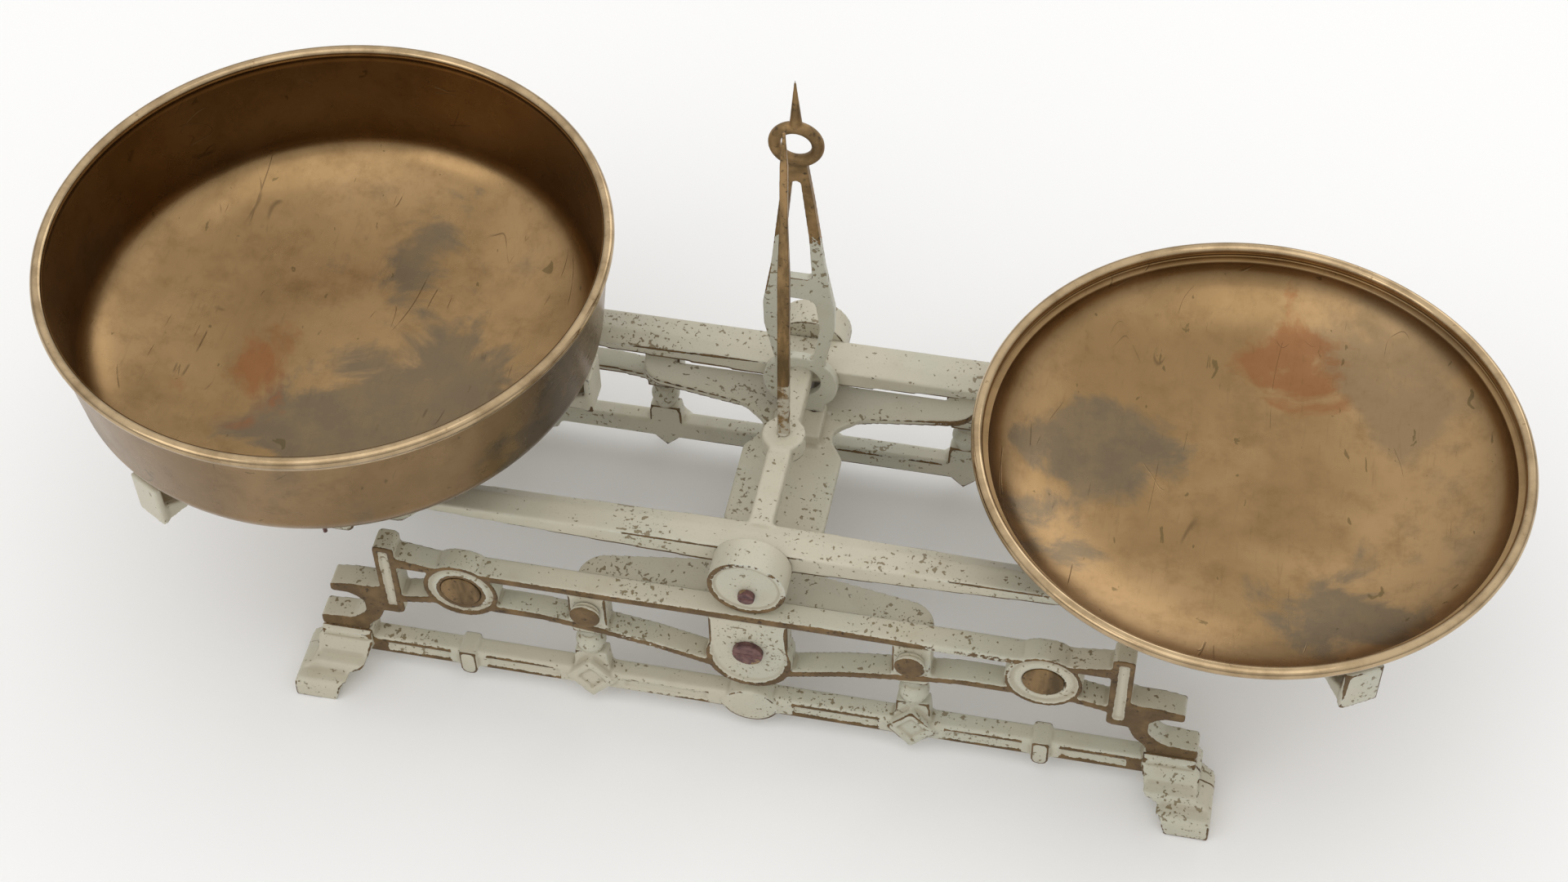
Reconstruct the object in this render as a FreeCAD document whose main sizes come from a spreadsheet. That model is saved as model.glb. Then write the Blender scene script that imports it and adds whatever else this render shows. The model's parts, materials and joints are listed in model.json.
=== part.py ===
import FreeCAD, Part
import math
import os

Vector = FreeCAD.Vector

# An open counter balance of the Roberval kind, at real size in millimetres.
# +X runs towards the shallow pan, +Y towards the back, +Z up. The origin is on the
# surface that the feet stand on, midway between the two side frames, under the fulcrum.

doc = FreeCAD.newDocument("WeighingScale")
sheet = doc.addObject("Spreadsheet::Sheet", "sizes")

SIZES = [
    # overall
    ("arm_span", 178.0, "fulcrum edge to each end edge"),
    ("frame_face", 70.0, "midplane to the outer face of a side frame"),
    ("frame_half", 147.5, "midplane to the outer side of an end post"),
    ("fulcrum_height", 84.0, "height of the three knife edges"),
    # side frames
    ("frame_depth", 10.0, "depth of the upper frame"),
    ("bar_drop", "=eye_radius - eye_rise + pass_gap", "knife edges down to the top bar's top"),
    ("bar_thick", 3.3, "thickness of the thin bars"),
    ("post_width", 8.5, "width of an end post"),
    ("post_rise", 8.2, "how far an end post stands over the top bar"),
    ("post_length", 41.0, "height of an end post"),
    ("boss_inset", 33.5, "end post's outer side to the round boss"),
    ("boss_radius", 15.0, "radius of the round boss"),
    ("boss_drop", 12.3, "top bar's top down to the boss centre"),
    ("plug_radius", 8.0, "radius of the plug in a boss"),
    ("plug_depth", 3.0, "depth of the plug's seat"),
    ("bolt_place", 63.5, "midplane to a frame bolt"),
    ("bolt_radius", 2.5, "radius of a frame bolt's shank"),
    ("bolt_head", 6.0, "radius of a frame bolt's cap"),
    ("rib_half", 7.5, "half width of the rib that the bolt passes"),
    ("plate_half", 15.5, "half width of the centre plate"),
    ("plate_drop", 28.3, "top bar's top down to the arc centre of the plate"),
    ("screw_drop", 22.8, "top bar's top down to the centre screw"),
    ("screw_radius", 6.0, "radius of the centre screw's head"),
    ("relief", 1.0, "height of raised and sunk ornament"),
    # lower rails and feet
    ("rail_depth", 8.5, "depth of a lower rail"),
    ("rail_low", 10.0, "height of a lower rail's underside"),
    ("rail_height", 9.5, "height of a lower rail"),
    ("ball_place", 64.5, "midplane to a ball pillar"),
    ("ball_radius", 6.0, "radius of the ball"),
    ("ball_height", 36.3, "height of the ball's centre"),
    ("foot_width", 20.5, "width of a foot"),
    ("foot_splay", 8.5, "how far a foot leans outwards"),
    ("collar_place", 115.5, "midplane to the collar round a lower rail"),
    ("foot_reach", 20.0, "how far a foot stands out in front of its frame"),
    # bridge plate, pointer and stay hanger
    ("deck_drop", "=eye_radius - eye_rise + pedestal_rise + 2 * pass_gap", "knife edges down to the bridge plate's top"),
    ("deck_thick", 3.3, "thickness of the bridge plate"),
    ("lug_thick", 3.3, "thickness of the bridge plate's lugs"),
    ("deck_half", 20.2, "half width of the bridge plate's octagon"),
    ("pedestal_rise", 6.0, "height of the pointer's pedestal"),
    ("pointer_front", 36.0, "midplane to the pointer's front face"),
    ("pointer_thick", 3.6, "thickness of the pointer"),
    ("eye_rise", 4.0, "knife edges up to the centre of caps and pointer eye"),
    ("eye_radius", 15.2, "radius of the caps and of the pointer's eye"),
    ("eye_bore", 8.3, "radius of the hole in the pointer's eye"),
    ("pointer_tip", 165.3, "knife edges up to the pointer's tip"),
    # beam
    ("beam_setback", 14.6, "frame's outer face to the beam's outer face"),
    ("beam_width", 15.4, "width of a beam side"),
    ("beam_flat", 9.4, "width of the flat top of a beam side"),
    ("beam_rise", 10.9, "knife edges up to the beam's top"),
    ("beam_deep", 9.9, "beam's height at the middle"),
    ("beam_shallow", 4.6, "beam's height at the ends"),
    ("cross_half", 4.7, "half width of the crossbar"),
    ("cross_deep", 7.9, "height of the crossbar"),
    ("seat_radius", 8.6, "radius of the needle's seat"),
    ("seat_place", 3.5, "midplane to the needle's seat"),
    ("cap_depth", 12.9, "depth of a beam cap"),
    ("cap_screw", 3.3, "radius of a cap screw's head"),
    ("knife_half", 3.0, "half width of a knife"),
    ("knife_height", 8.0, "height of a knife"),
    ("needle_length", 161.0, "length of the needle over its seat"),
    ("needle_width", 4.6, "width of the needle at its foot"),
    ("needle_lean", 1.1, "degrees that the needle leans"),
    ("cheek_half", 17.0, "half width of the tongue of an end cheek"),
    # carriers, stay and pans
    ("arm_width", 13.0, "width of a spider's arm"),
    ("arm_thick", 5.5, "thickness of a spider's arm"),
    ("pan_seat", 20.0, "knife edges up to the pans' underside"),
    ("tab_height", 20.0, "height of a spider's tab"),
    ("tab_thick", 3.0, "thickness of a spider's tab"),
    ("stem_radius", 4.0, "radius of a carrier's stem"),
    ("stay_height", 27.0, "height of the stay's pivots"),
    ("stay_half", 3.0, "half thickness of the stay"),
    ("stay_depth", 8.0, "height of the stay's section"),
    ("pin_radius", 2.5, "radius of the pivot pins"),
    ("deep_shift_in", 1.7, "the deep pan's axis stands this far inside its stem"),
    ("deep_shift_back", 4.2, "the deep pan's axis stands this far behind its stem"),
    ("deep_radius", 110.0, "outer radius of the deep pan"),
    ("deep_depth", 66.0, "depth of the deep pan, rim top to underside"),
    ("shallow_radius", 103.8, "outer radius of the shallow pan"),
    ("shallow_depth", 29.0, "depth of the shallow pan, rim top to underside"),
    ("deep_sheet", 1.0, "thickness of the deep pan's metal"),
    ("shallow_sheet", 1.77, "thickness of the shallow pan's metal"),
    ("bead_radius", 2.3, "radius of the rolled rim"),
    # clearances
    ("running", 0.06, "radial clearance of a running fit"),
    ("edge_gap", 0.05, "gap between a knife edge and its bearing"),
    ("pass_gap", 0.4, "clearance between pieces that pass"),
]

for row, (alias, value, note) in enumerate(SIZES, start=1):
    sheet.set("A%d" % row, note)
    sheet.set("B%d" % row, str(value))
    sheet.setAlias("B%d" % row, alias)
doc.recompute()

PARTS = []


def mm(alias):
    """The value of one named size."""
    return float(sheet.get(alias))


# ---------------------------------------------------------------- helpers

def bind(obj, formulas):
    """Bind properties of an object to formulas on the sheet."""
    for prop, formula in formulas.items():
        obj.setExpression(prop, formula)
    return obj


def place(obj, x, y, z):
    """Bind the place of an object; each value is a formula on the sheet."""
    return bind(obj, {"Placement.Base.x": x, "Placement.Base.y": y, "Placement.Base.z": z})


def box(name, sides, corner):
    """A block from its three sides and its lowest corner."""
    obj = doc.addObject("Part::Box", name)
    bind(obj, dict(zip(("Length", "Width", "Height"), sides)))
    return place(obj, *corner)


ALONG = {
    "x": FreeCAD.Rotation(Vector(0, 1, 0), 90),
    "y": FreeCAD.Rotation(Vector(1, 0, 0), -90),
    "z": FreeCAD.Rotation(),
}


def rod(name, axis, radius, length, start):
    """A cylinder along an axis from its start point."""
    obj = doc.addObject("Part::Cylinder", name)
    obj.Placement = FreeCAD.Placement(Vector(), ALONG[axis])
    bind(obj, {"Radius": radius, "Height": length})
    return place(obj, *start)


def cut(name, base, tool):
    """What is left of base when tool is taken away."""
    obj = doc.addObject("Part::Cut", name)
    obj.Base = base
    obj.Tool = tool
    return obj


def fuse(name, pieces):
    """Several shapes joined into one solid."""
    obj = doc.addObject("Part::MultiFuse", name)
    obj.Shapes = pieces
    obj.Refine = True
    return obj


def mirrored(name, source, normal):
    """The mirror image of an object through the origin."""
    obj = doc.addObject("Part::Mirroring", name)
    obj.Source = source
    obj.Normal = normal
    return obj


def group(name, pieces):
    """Separate solids that share one node."""
    obj = doc.addObject("Part::Compound", name)
    obj.Links = pieces
    return obj


def four(name, piece):
    """One piece and its three mirror images, as separate solids."""
    across = mirrored(name + "_across", piece, Vector(1, 0, 0))
    behind = mirrored(name + "_behind", piece, Vector(0, 1, 0))
    corner = mirrored(name + "_corner", across, Vector(0, 1, 0))
    return group(name, [piece, across, behind, corner])


def part(obj, label):
    """Keep an object as a sub-part under its node name."""
    obj.Label = label
    PARTS.append(obj)
    return obj


def cast(label, shape):
    """A sub-part whose free outline is drawn in code from the sheet's sizes."""
    obj = doc.addObject("Part::Feature", label + "_cast")
    obj.Shape = shape
    return part(obj, label)


def outline(points, plane, level):
    """A closed wire through points (u, v, radius) with an arc of that radius at each corner."""
    spots = [Vector(u, v, 0) for u, v, _ in points]
    count = len(points)
    entries = []
    for i, (_, _, radius) in enumerate(points):
        here = spots[i]
        to_last = spots[i - 1] - here
        to_next = spots[(i + 1) % count] - here
        if radius <= 0:
            entries.append((here, None, here))
            continue
        half = to_last.getAngle(to_next) / 2
        reach = radius / math.tan(half)
        last_way = Vector(to_last).normalize()
        next_way = Vector(to_next).normalize()
        bisector = (last_way + next_way).normalize()
        middle = here + bisector * (radius / math.sin(half) - radius)
        entries.append((here + last_way * reach, middle, here + next_way * reach))
    edges = []
    for i, (arrive, middle, leave) in enumerate(entries):
        if middle is not None:
            edges.append(Part.Arc(arrive, middle, leave).toShape())
        onward = entries[(i + 1) % count][0]
        if leave.distanceToPoint(onward) > 1e-6:
            edges.append(Part.LineSegment(leave, onward).toShape())
    wire = Part.Wire(edges)
    turns = {
        "xy": FreeCAD.Matrix(1, 0, 0, 0, 0, 1, 0, 0, 0, 0, 1, level),
        "xz": FreeCAD.Matrix(1, 0, 0, 0, 0, 0, -1, level, 0, 1, 0, 0),
        "yz": FreeCAD.Matrix(0, 0, 1, level, 1, 0, 0, 0, 0, 1, 0, 0),
    }
    wire.transformShape(turns[plane], True)
    return wire


WAYS = {"xy": Vector(0, 0, 1), "xz": Vector(0, 1, 0), "yz": Vector(1, 0, 0)}


def slab(points, plane, start, end):
    """A plate of constant thickness between two levels, from a rounded outline."""
    face = Part.Face(outline(points, plane, start))
    return face.extrude(WAYS[plane] * (end - start))


def bar(x0, x1, y0, y1, z0, z1):
    """A block between two corners."""
    return Part.makeBox(x1 - x0, y1 - y0, z1 - z0, Vector(x0, y0, z0))


def disc(radius, y0, y1, x, z):
    """A round along Y."""
    return Part.makeCylinder(radius, y1 - y0, Vector(x, y0, z), Vector(0, 1, 0))


def flip(shape, way):
    """The mirror image of a shape through the origin."""
    return shape.mirror(Vector(), way)


def both_sides(shape):
    """A shape with its image on the other side of the fulcrum."""
    return shape.fuse(flip(shape, Vector(1, 0, 0)))


def joined(shapes):
    """Shapes fused into one clean solid."""
    return shapes[0].multiFuse(shapes[1:]).removeSplitter()


# ---------------------------------------------------------------- side frames

FACE = mm("frame_face")
INNER = FACE - mm("frame_depth")
HALF = mm("frame_half")
BAR_TOP = mm("fulcrum_height") - mm("bar_drop")
BOSS_X = HALF - mm("boss_inset")
BOSS_Z = BAR_TOP - mm("boss_drop")
PLATE_Z = BAR_TOP - mm("plate_drop")
RELIEF = mm("relief")
THICK = mm("bar_thick")
FORK_LOW = BAR_TOP - 48
LIP = 1.5
RING_SET = 0.2


def lower_bar():
    """The bowed lower bar: it sags from the boss to the centre plate."""
    sag = BAR_TOP - 22.3
    under = [(0, sag - 14, 0), (mm("plate_half"), sag - 13, 0), (38, sag - 7, 40), (64, sag - 2.6, 60),
             (84, sag, 30), (BOSS_X, sag, 0), (HALF - 23, sag, 8), (HALF - 4, sag - 4, 0)]
    over = [(u, v + THICK, r) for u, v, r in reversed(under)]
    return slab(under + over, "xz", -FACE, -INNER)


def fork():
    """The open fork outside the end post, with its mouth outwards."""
    x = HALF
    z = BAR_TOP
    return slab([
        (x - 2, z - 17, 0), (x + 3, z - 18.5, 4), (x + 12, z - 18.7, 9), (x + 21, z - 20.2, 1.5),
        (x + 21, z - 24.7, 1.5), (x + 13, z - 24.6, 6), (x + 8, z - 28, 4), (x + 8, z - 36, 5),
        (x + 14, z - 41.5, 6), (x + 28, z - 42.6, 1.5), (x + 28, FORK_LOW, 1), (x + 8, FORK_LOW, 1),
        (x + 8, z - 45, 3), (x + 2.5, z - 39, 4), (x, z - 33, 0), (x - 2, z - 33, 0),
    ], "xz", -FACE, -INNER)


def upper_frame():
    """The front upper frame: bars, end posts, forks, bosses and the centre plate."""
    post_in = HALF - mm("post_width")
    post_top = BAR_TOP + mm("post_rise")
    post_low = post_top - mm("post_length")
    bolt = mm("bolt_place")
    rib = mm("rib_half")
    pad = mm("ball_place")
    plate = mm("plate_half")
    screw_z = BAR_TOP - mm("screw_drop")
    corner = 2.0
    post = slab([(post_in, post_low, corner), (HALF, post_low, corner), (HALF, post_top, corner),
                 (post_in, post_top, corner)], "xz", -FACE, -INNER)
    rise = slab([(post_in - 14, BAR_TOP - THICK, 0), (post_in + 1, BAR_TOP - THICK + 1.5, 0),
                 (post_in + 1, BAR_TOP + 2.4, 0), (post_in - 14, BAR_TOP, 0)], "xz", -FACE, -INNER)
    half = joined([
        bar(0, post_in + 1, -FACE, -INNER, BAR_TOP - THICK, BAR_TOP),
        rise,
        lower_bar(),
        post,
        fork(),
        disc(mm("boss_radius"), -FACE, -INNER, BOSS_X, BOSS_Z),
        bar(bolt - rib, bolt + rib, -FACE + RELIEF, -INNER, BAR_TOP - 24, BAR_TOP - 1),
        bar(pad - 6, pad + 6, -FACE + 0.8, -INNER, BAR_TOP - 28, BAR_TOP - 22),
        bar(0, plate, -FACE + RELIEF, -INNER, PLATE_Z, BAR_TOP - 1),
        disc(plate + LIP, -FACE, -INNER, 0, PLATE_Z),
    ])
    sunk_post = slab([(post_in + 2.2, post_low + 3, 1), (HALF - 1.6, post_low + 3, 1),
                      (HALF - 1.6, post_top - 2.5, 1), (post_in + 2.2, post_top - 2.5, 1)],
                     "xz", -FACE - 1, -FACE + RELIEF)
    plug_seat = disc(mm("plug_radius"), -FACE - 1, -FACE + mm("plug_depth"), BOSS_X, BOSS_Z)
    boss_dish = disc(mm("boss_radius") - LIP, -FACE - 1, -FACE + RELIEF, BOSS_X, BOSS_Z)
    plug_ring = disc(mm("plug_radius") + 2.4, -FACE + RING_SET, -INNER, BOSS_X, BOSS_Z)
    bolt_hole = disc(mm("bolt_radius"), -FACE - 1, -INNER + 1, bolt, BOSS_Z)
    half = half.cut(sunk_post).cut(boss_dish).fuse(plug_ring).cut(plug_seat).cut(bolt_hole)
    plate_dish = joined([
        bar(-plate, plate, -FACE - 1, -FACE + RELIEF, PLATE_Z, BAR_TOP - THICK),
        disc(plate - 1, -FACE - 1, -FACE + RELIEF, 0, PLATE_Z),
    ])
    screw_hole = disc(mm("screw_radius") / 2, -FACE - 1, -INNER + 1, 0, screw_z)
    return both_sides(half).cut(plate_dish).cut(screw_hole).removeSplitter()


def foot():
    """One foot: a side outline that leans outwards and a stepped front outline share one solid."""
    inner = HALF + 7.5
    outer = inner + mm("foot_width")
    lean = mm("foot_splay")
    front = -FACE - mm("foot_reach")
    ledge = FORK_LOW - 4
    toe = 9.4
    side = slab([(inner, FORK_LOW, 0), (outer, FORK_LOW, 0), (outer, ledge, 0),
                 (outer + 2.5, ledge - 3.5, 2.5), (outer + 1.5, toe + 3, 1.5), (outer + lean, toe - 0.5, 4), (outer + lean, 0, 0),
                 (inner + lean + 3.5, 0, 0), (inner + lean + 1, toe - 1, 2), (inner + 2, toe + 2, 4),
                 (inner, ledge - 3, 4)], "xz", front, -INNER)
    profile = slab([(-INNER, FORK_LOW, 0), (-FACE, FORK_LOW, 0), (-FACE - 2.2, FORK_LOW - 1.4, 0.8),
                    (-FACE - 2.2, ledge, 0.8), (-FACE - 1.4, ledge - 0.6, 0.4), (-FACE - 5.6, ledge - 7, 0),
                    (-FACE - 10.8, ledge - 7.8, 2.2), (-FACE - 12.4, toe, 0.5), (front + 0.4, toe, 3.5),
                    (front, 0, 0), (-FACE - 1, 0, 0), (-FACE + 4, 5, 5), (-INNER, ledge - 6, 0)],
                   "yz", inner - 5, inner + 60)
    return side.common(profile)


def diamond(half_width, half_height, x, z, start, end):
    """A flat diamond with soft corners."""
    return slab([(x - half_width, z, 1), (x, z - half_height, 0.8), (x + half_width, z, 1),
                 (x, z + half_height, 0.8)], "xz", start, end)


def lower_rail():
    """The front lower rail with its ornaments, pillar blocks and two feet."""
    low = mm("rail_low")
    top = low + mm("rail_height")
    back = -FACE + mm("rail_depth")
    ball_x = mm("ball_place")
    collar_x = mm("collar_place")
    collar_half = 3.4
    mid = (low + top) / 2
    reach = mm("ball_height") - mm("ball_radius")
    drop = 3.4
    diamond_z = mid + 1.5
    half = joined([
        slab([(-FACE, low, 1), (-FACE, top, 2), (back, top, 1.5), (back, low, 1)], "yz", 0, HALF + 12),
        foot(),
        diamond(10.2, 11.7, ball_x, diamond_z, -FACE - 1.5 * RELIEF, back),
        slab([(ball_x - 7.5, top - 2, 0), (ball_x + 7.5, top - 2, 0), (ball_x + 6.5, reach, 1),
              (ball_x - 6.5, reach, 1)], "xz", -FACE + 2, back),
        slab([(collar_x - collar_half, top + RELIEF, 1), (collar_x - collar_half, low - drop, 3.2),
              (collar_x + collar_half, low - drop, 3.2), (collar_x + collar_half, top + RELIEF, 1)],
             "xz", -FACE - 1.5 * RELIEF, back + RELIEF),
    ])
    half = half.cut(diamond(6.2, 7.4, ball_x, diamond_z, -FACE - 3, -FACE - 0.3))
    strip_ends = [(17, ball_x - 13), (ball_x + 13, collar_x - 7.5), (collar_x + 7.5, HALF + 2)]
    for start, end in strip_ends:
        half = half.cut(bar(start, end, -FACE - 1, -FACE + 0.7, low + 2.2, top - 2.2))
    oval = Part.Ellipse(Vector(0, 0, 0), 11, 9.5).toShape()
    turn = FreeCAD.Matrix(1, 0, 0, 0, 0, 0, -1, -FACE - RELIEF, 0, 1, 0, mid - 0.5)
    oval.transformShape(turn, True)
    medallion = Part.Face(Part.Wire([oval])).extrude(Vector(0, mm("rail_depth") + RELIEF, 0))
    return both_sides(half).fuse(medallion).removeSplitter()


front_upper = cast("front_upper_frame", upper_frame())
front_rail = cast("front_lower_rail", lower_rail())
part(mirrored("rear_upper_mirror", front_upper, Vector(0, 1, 0)), "rear_upper_frame")
part(mirrored("rear_rail_mirror", front_rail, Vector(0, 1, 0)), "rear_lower_rail")


def ball_pillar(name):
    """A turned ball between two short necks, made as a revolved body."""
    body = doc.addObject("PartDesign::Body", name)
    sketch = body.newObject("Sketcher::SketchObject", name + "_profile")
    sketch.AttachmentSupport = [(plane_of(body, "XZ_Plane"), "")]
    sketch.MapMode = "FlatFace"
    radius = mm("ball_radius")
    neck = 4.2
    low = -radius
    high = BAR_TOP - 28 - mm("ball_height")
    dip = math.sqrt(radius ** 2 - neck ** 2)
    spots = [Vector(0, low, 0), Vector(neck, low, 0), Vector(neck, -dip, 0), Vector(neck, dip, 0),
             Vector(neck + 1.3, high, 0), Vector(0, high, 0)]
    arc = Part.Arc(spots[2], Vector(radius, 0, 0), spots[3])
    lines = [Part.LineSegment(spots[0], spots[1]), Part.LineSegment(spots[1], spots[2]), arc,
             Part.LineSegment(spots[3], spots[4]), Part.LineSegment(spots[4], spots[5]),
             Part.LineSegment(spots[5], spots[0])]
    for line in lines:
        sketch.addGeometry(line, False)
    turned = body.newObject("PartDesign::Revolution", name + "_turned")
    turned.Profile = sketch
    turned.ReferenceAxis = (sketch, ["V_Axis"])
    turned.Angle = 360
    return body


def plane_of(body, role):
    """One of a body's own origin planes, found by its role."""
    return [item for item in body.Origin.OriginFeatures if item.Role == role][0]


def pillar_pair(label, side):
    """Two pillars of one frame; side is -1 in front and 1 at the back."""
    pair = []
    for hand in (-1, 1):
        body = ball_pillar("%s_%s" % (label, "left" if hand < 0 else "right"))
        place(body, "%d * sizes.ball_place" % hand, "%d * (sizes.frame_face - 5)" % side, "sizes.ball_height")
        pair.append(body)
    part(group(label + "_pair", pair), label)


pillar_pair("front_ball_pillars", -1)
pillar_pair("rear_ball_pillars", 1)

# Plugs, bolts and screws of the frames
BOSS_X_F = "(sizes.frame_half - sizes.boss_inset)"
BAR_TOP_F = "(sizes.fulcrum_height - sizes.bar_drop)"
BOSS_Z_F = "(" + BAR_TOP_F + " - sizes.boss_drop)"
DECK_TOP_F = "(sizes.fulcrum_height - sizes.deck_drop)"
DECK_LOW_F = "(" + DECK_TOP_F + " - sizes.deck_thick)"

plug = rod("plug", "y", "sizes.plug_radius", "sizes.plug_depth", (BOSS_X_F, "-sizes.frame_face", BOSS_Z_F))
part(four("boss_plugs_group", plug), "boss_plugs")

shank = rod("bolt_shank", "y", "sizes.bolt_radius", "sizes.frame_depth + sizes.lug_thick",
            ("sizes.bolt_place", "-sizes.frame_face", BOSS_Z_F))
neck = rod("bolt_collar", "y", "sizes.bolt_head - 0.8", "3.4",
           ("sizes.bolt_place", "-sizes.frame_face - 2.4", BOSS_Z_F))
head = rod("bolt_cap", "y", "sizes.bolt_head", "1.8",
           ("sizes.bolt_place", "-sizes.frame_face - 3", BOSS_Z_F))
part(four("frame_bolts_group", fuse("frame_bolt", [shank, neck, head])), "frame_bolts")


def slotted_screw(name, radius, shank_radius, shank_length, x, z, face):
    """A flat slotted screw driven along +Y; its head stands in front of a face."""
    cap = rod(name + "_head", "y", radius, "2.4", (x, face + " - 2.4", z))
    stem = rod(name + "_stem", "y", shank_radius, shank_length, (x, face, z))
    whole = fuse(name + "_whole", [cap, stem])
    slot = box(name + "_slot", ("2 * " + radius + " + 2", "1.2", "1.3"),
               (x + " - " + radius + " - 1", face + " - 2.9", z + " - 0.65"))
    return cut(name, whole, slot)


centre_screw = slotted_screw("centre_screw", "sizes.screw_radius", "sizes.screw_radius / 2",
                             "sizes.frame_depth - sizes.relief + 2", "0", BAR_TOP_F + " - sizes.screw_drop",
                             "(-sizes.frame_face + sizes.relief)")
rear_centre_screw = mirrored("centre_screw_rear", centre_screw, Vector(0, 1, 0))
part(group("centre_screws_group", [centre_screw, rear_centre_screw]), "centre_screws")

# ---------------------------------------------------------------- bridge plate and what stands on it

DECK_TOP = mm("fulcrum_height") - mm("deck_drop")
DECK_LOW = DECK_TOP - mm("deck_thick")
SCREW_X = 5.5
BEAM_OUT = FACE - mm("beam_setback")


def bridge_plate():
    """The octagon with four curved arms that end in lugs against the frames."""
    edge = mm("deck_half")
    outer = BEAM_OUT + 1.6
    bolt = mm("bolt_place")
    quarter = [(edge, 0, 0), (edge, 18.5, 2), (14.5, 27, 4), (14.5, 33, 5), (24, outer - 16.5, 9),
               (bolt + 6.5, outer - 10, 11), (bolt + 6.5, INNER, 0),
               (bolt - 6.5, INNER, 0), (bolt - 6.5, outer, 0), (0, outer, 0)]
    right_back = slab(quarter + [(0, 0, 0)], "xy", DECK_LOW, DECK_TOP)
    lug = bar(bolt - 6.5, bolt + 6.5, INNER - mm("lug_thick"), INNER, BOSS_Z - 7, DECK_TOP)
    hole = Part.makeCylinder(mm("bolt_radius"), 20, Vector(bolt, INNER - 10, BOSS_Z), Vector(0, 1, 0))
    corner = right_back.fuse(lug).cut(hole)
    back = both_sides(corner)
    whole = back.fuse(flip(back, Vector(0, 1, 0)))
    front = mm("pointer_front")
    pedestal = bar(-10, 10, front - 13, front + mm("pointer_thick") + 1.4, DECK_LOW,
                   DECK_TOP + mm("pedestal_rise"))
    whole = whole.fuse(pedestal)
    for x in (-SCREW_X, SCREW_X):
        screw_at = Vector(x, front + mm("pointer_thick") / 2, DECK_LOW - 1)
        whole = whole.cut(Part.makeCylinder(1.6, 30, screw_at))
        whole = whole.cut(Part.makeCylinder(1.5, 3.3, Vector(2 * x, 0, DECK_LOW - 1)))
    return whole.removeSplitter()


cast("bridge_plate", bridge_plate())


def fixed_pointer():
    """The fixed pointer: an eye round the crossbar, a lyre, a ring and a spike."""
    front = mm("pointer_front")
    back = front + mm("pointer_thick")
    edge = mm("fulcrum_height")
    eye_z = edge + mm("eye_rise")
    tip = edge + mm("pointer_tip")
    ring_z = tip - 31
    foot_z = DECK_TOP + mm("pedestal_rise")
    body = [(9.5, eye_z + 10, 0), (14.0, eye_z + 33, 6), (14.2, eye_z + 45, 10), (10.4, eye_z + 68, 60),
            (6.6, eye_z + 102, 90), (3.9, ring_z - 8, 0)]
    left = [(-u, v, r) for u, v, r in reversed(body)]
    lyre = slab(body + left, "xz", front, back)
    window = slab([(5.4, eye_z + 61, 2), (4.5, eye_z + 83, 60), (1.6, ring_z - 17.5, 1.5),
                   (-1.6, ring_z - 17.5, 1.5), (-4.5, eye_z + 83, 60), (-5.4, eye_z + 61, 2)],
                  "xz", front - 1, back + 1)
    oval = slab([(5.0, eye_z + 14, 1), (8.2, eye_z + 33, 5), (6.4, eye_z + 49.5, 4),
                 (-6.4, eye_z + 49.5, 4), (-8.2, eye_z + 33, 5), (-5.0, eye_z + 14, 1)],
                "xz", front - 1, back + 1)
    eye = disc(mm("eye_radius"), front, back, 0, eye_z)
    hole = disc(mm("eye_bore"), front - 1, back + 1, 0, eye_z + 1.3)
    foot_block = bar(-9, 9, front, back, foot_z, eye_z - 8)
    middle = (front + back) / 2
    ring = Part.makeTorus(8.1, 2.4, Vector(0, middle, ring_z), Vector(0, 1, 0))
    spike = Part.makeCone(2.3, 0.3, 20, Vector(0, middle, ring_z + 11), Vector(0, 0, 1))
    root = Part.makeCylinder(2.3, 4, Vector(0, middle, ring_z + 7.5), Vector(0, 0, 1))
    solid = lyre.cut(window).cut(oval).fuse(eye).fuse(foot_block).cut(hole)
    for x in (-SCREW_X, SCREW_X):
        solid = solid.cut(Part.makeCylinder(1.6, 6, Vector(x, middle, foot_z - 1)))
    return solid.fuse(ring).fuse(root).fuse(spike).removeSplitter()


cast("fixed_pointer", fixed_pointer())


FULCRUM_F = "sizes.fulcrum_height"
SCREW_Y_F = "(sizes.pointer_front + sizes.pointer_thick / 2)"
pointer_screws = []
for hand in (-1, 1):
    spot = ("%.1f" % (hand * SCREW_X), SCREW_Y_F, DECK_LOW_F)
    shaft = rod("pointer_screw_shaft", "z", "1.6", "sizes.deck_thick + sizes.pedestal_rise + 5", spot)
    cap = rod("pointer_screw_cap", "z", "3.1", "2", (spot[0], spot[1], DECK_LOW_F + " - 2"))
    pointer_screws.append(fuse("pointer_screw", [shaft, cap]))
part(group("pointer_screws_group", pointer_screws), "pointer_screws")

# Fulcrum bearings: a block with a right-angled groove on top, standing on the bridge plate
UP_GROOVE = FreeCAD.Rotation(Vector(0, 1, 0), -45)
DOWN_GROOVE = FreeCAD.Rotation(Vector(0, 1, 0), 135)
BEAM_OUT_F = "(sizes.frame_face - sizes.beam_setback)"
BEAM_IN_F = "(" + BEAM_OUT_F + " - sizes.beam_width)"


def grooved(name, block, x, y, apex, turn):
    """A block with a right-angled groove along Y whose bottom is at the apex height."""
    tool = box(name + "_groove", ("12", "14", "12"), (x, y, apex))
    tool.Placement.Rotation = turn
    return cut(name, block, tool)


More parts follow.
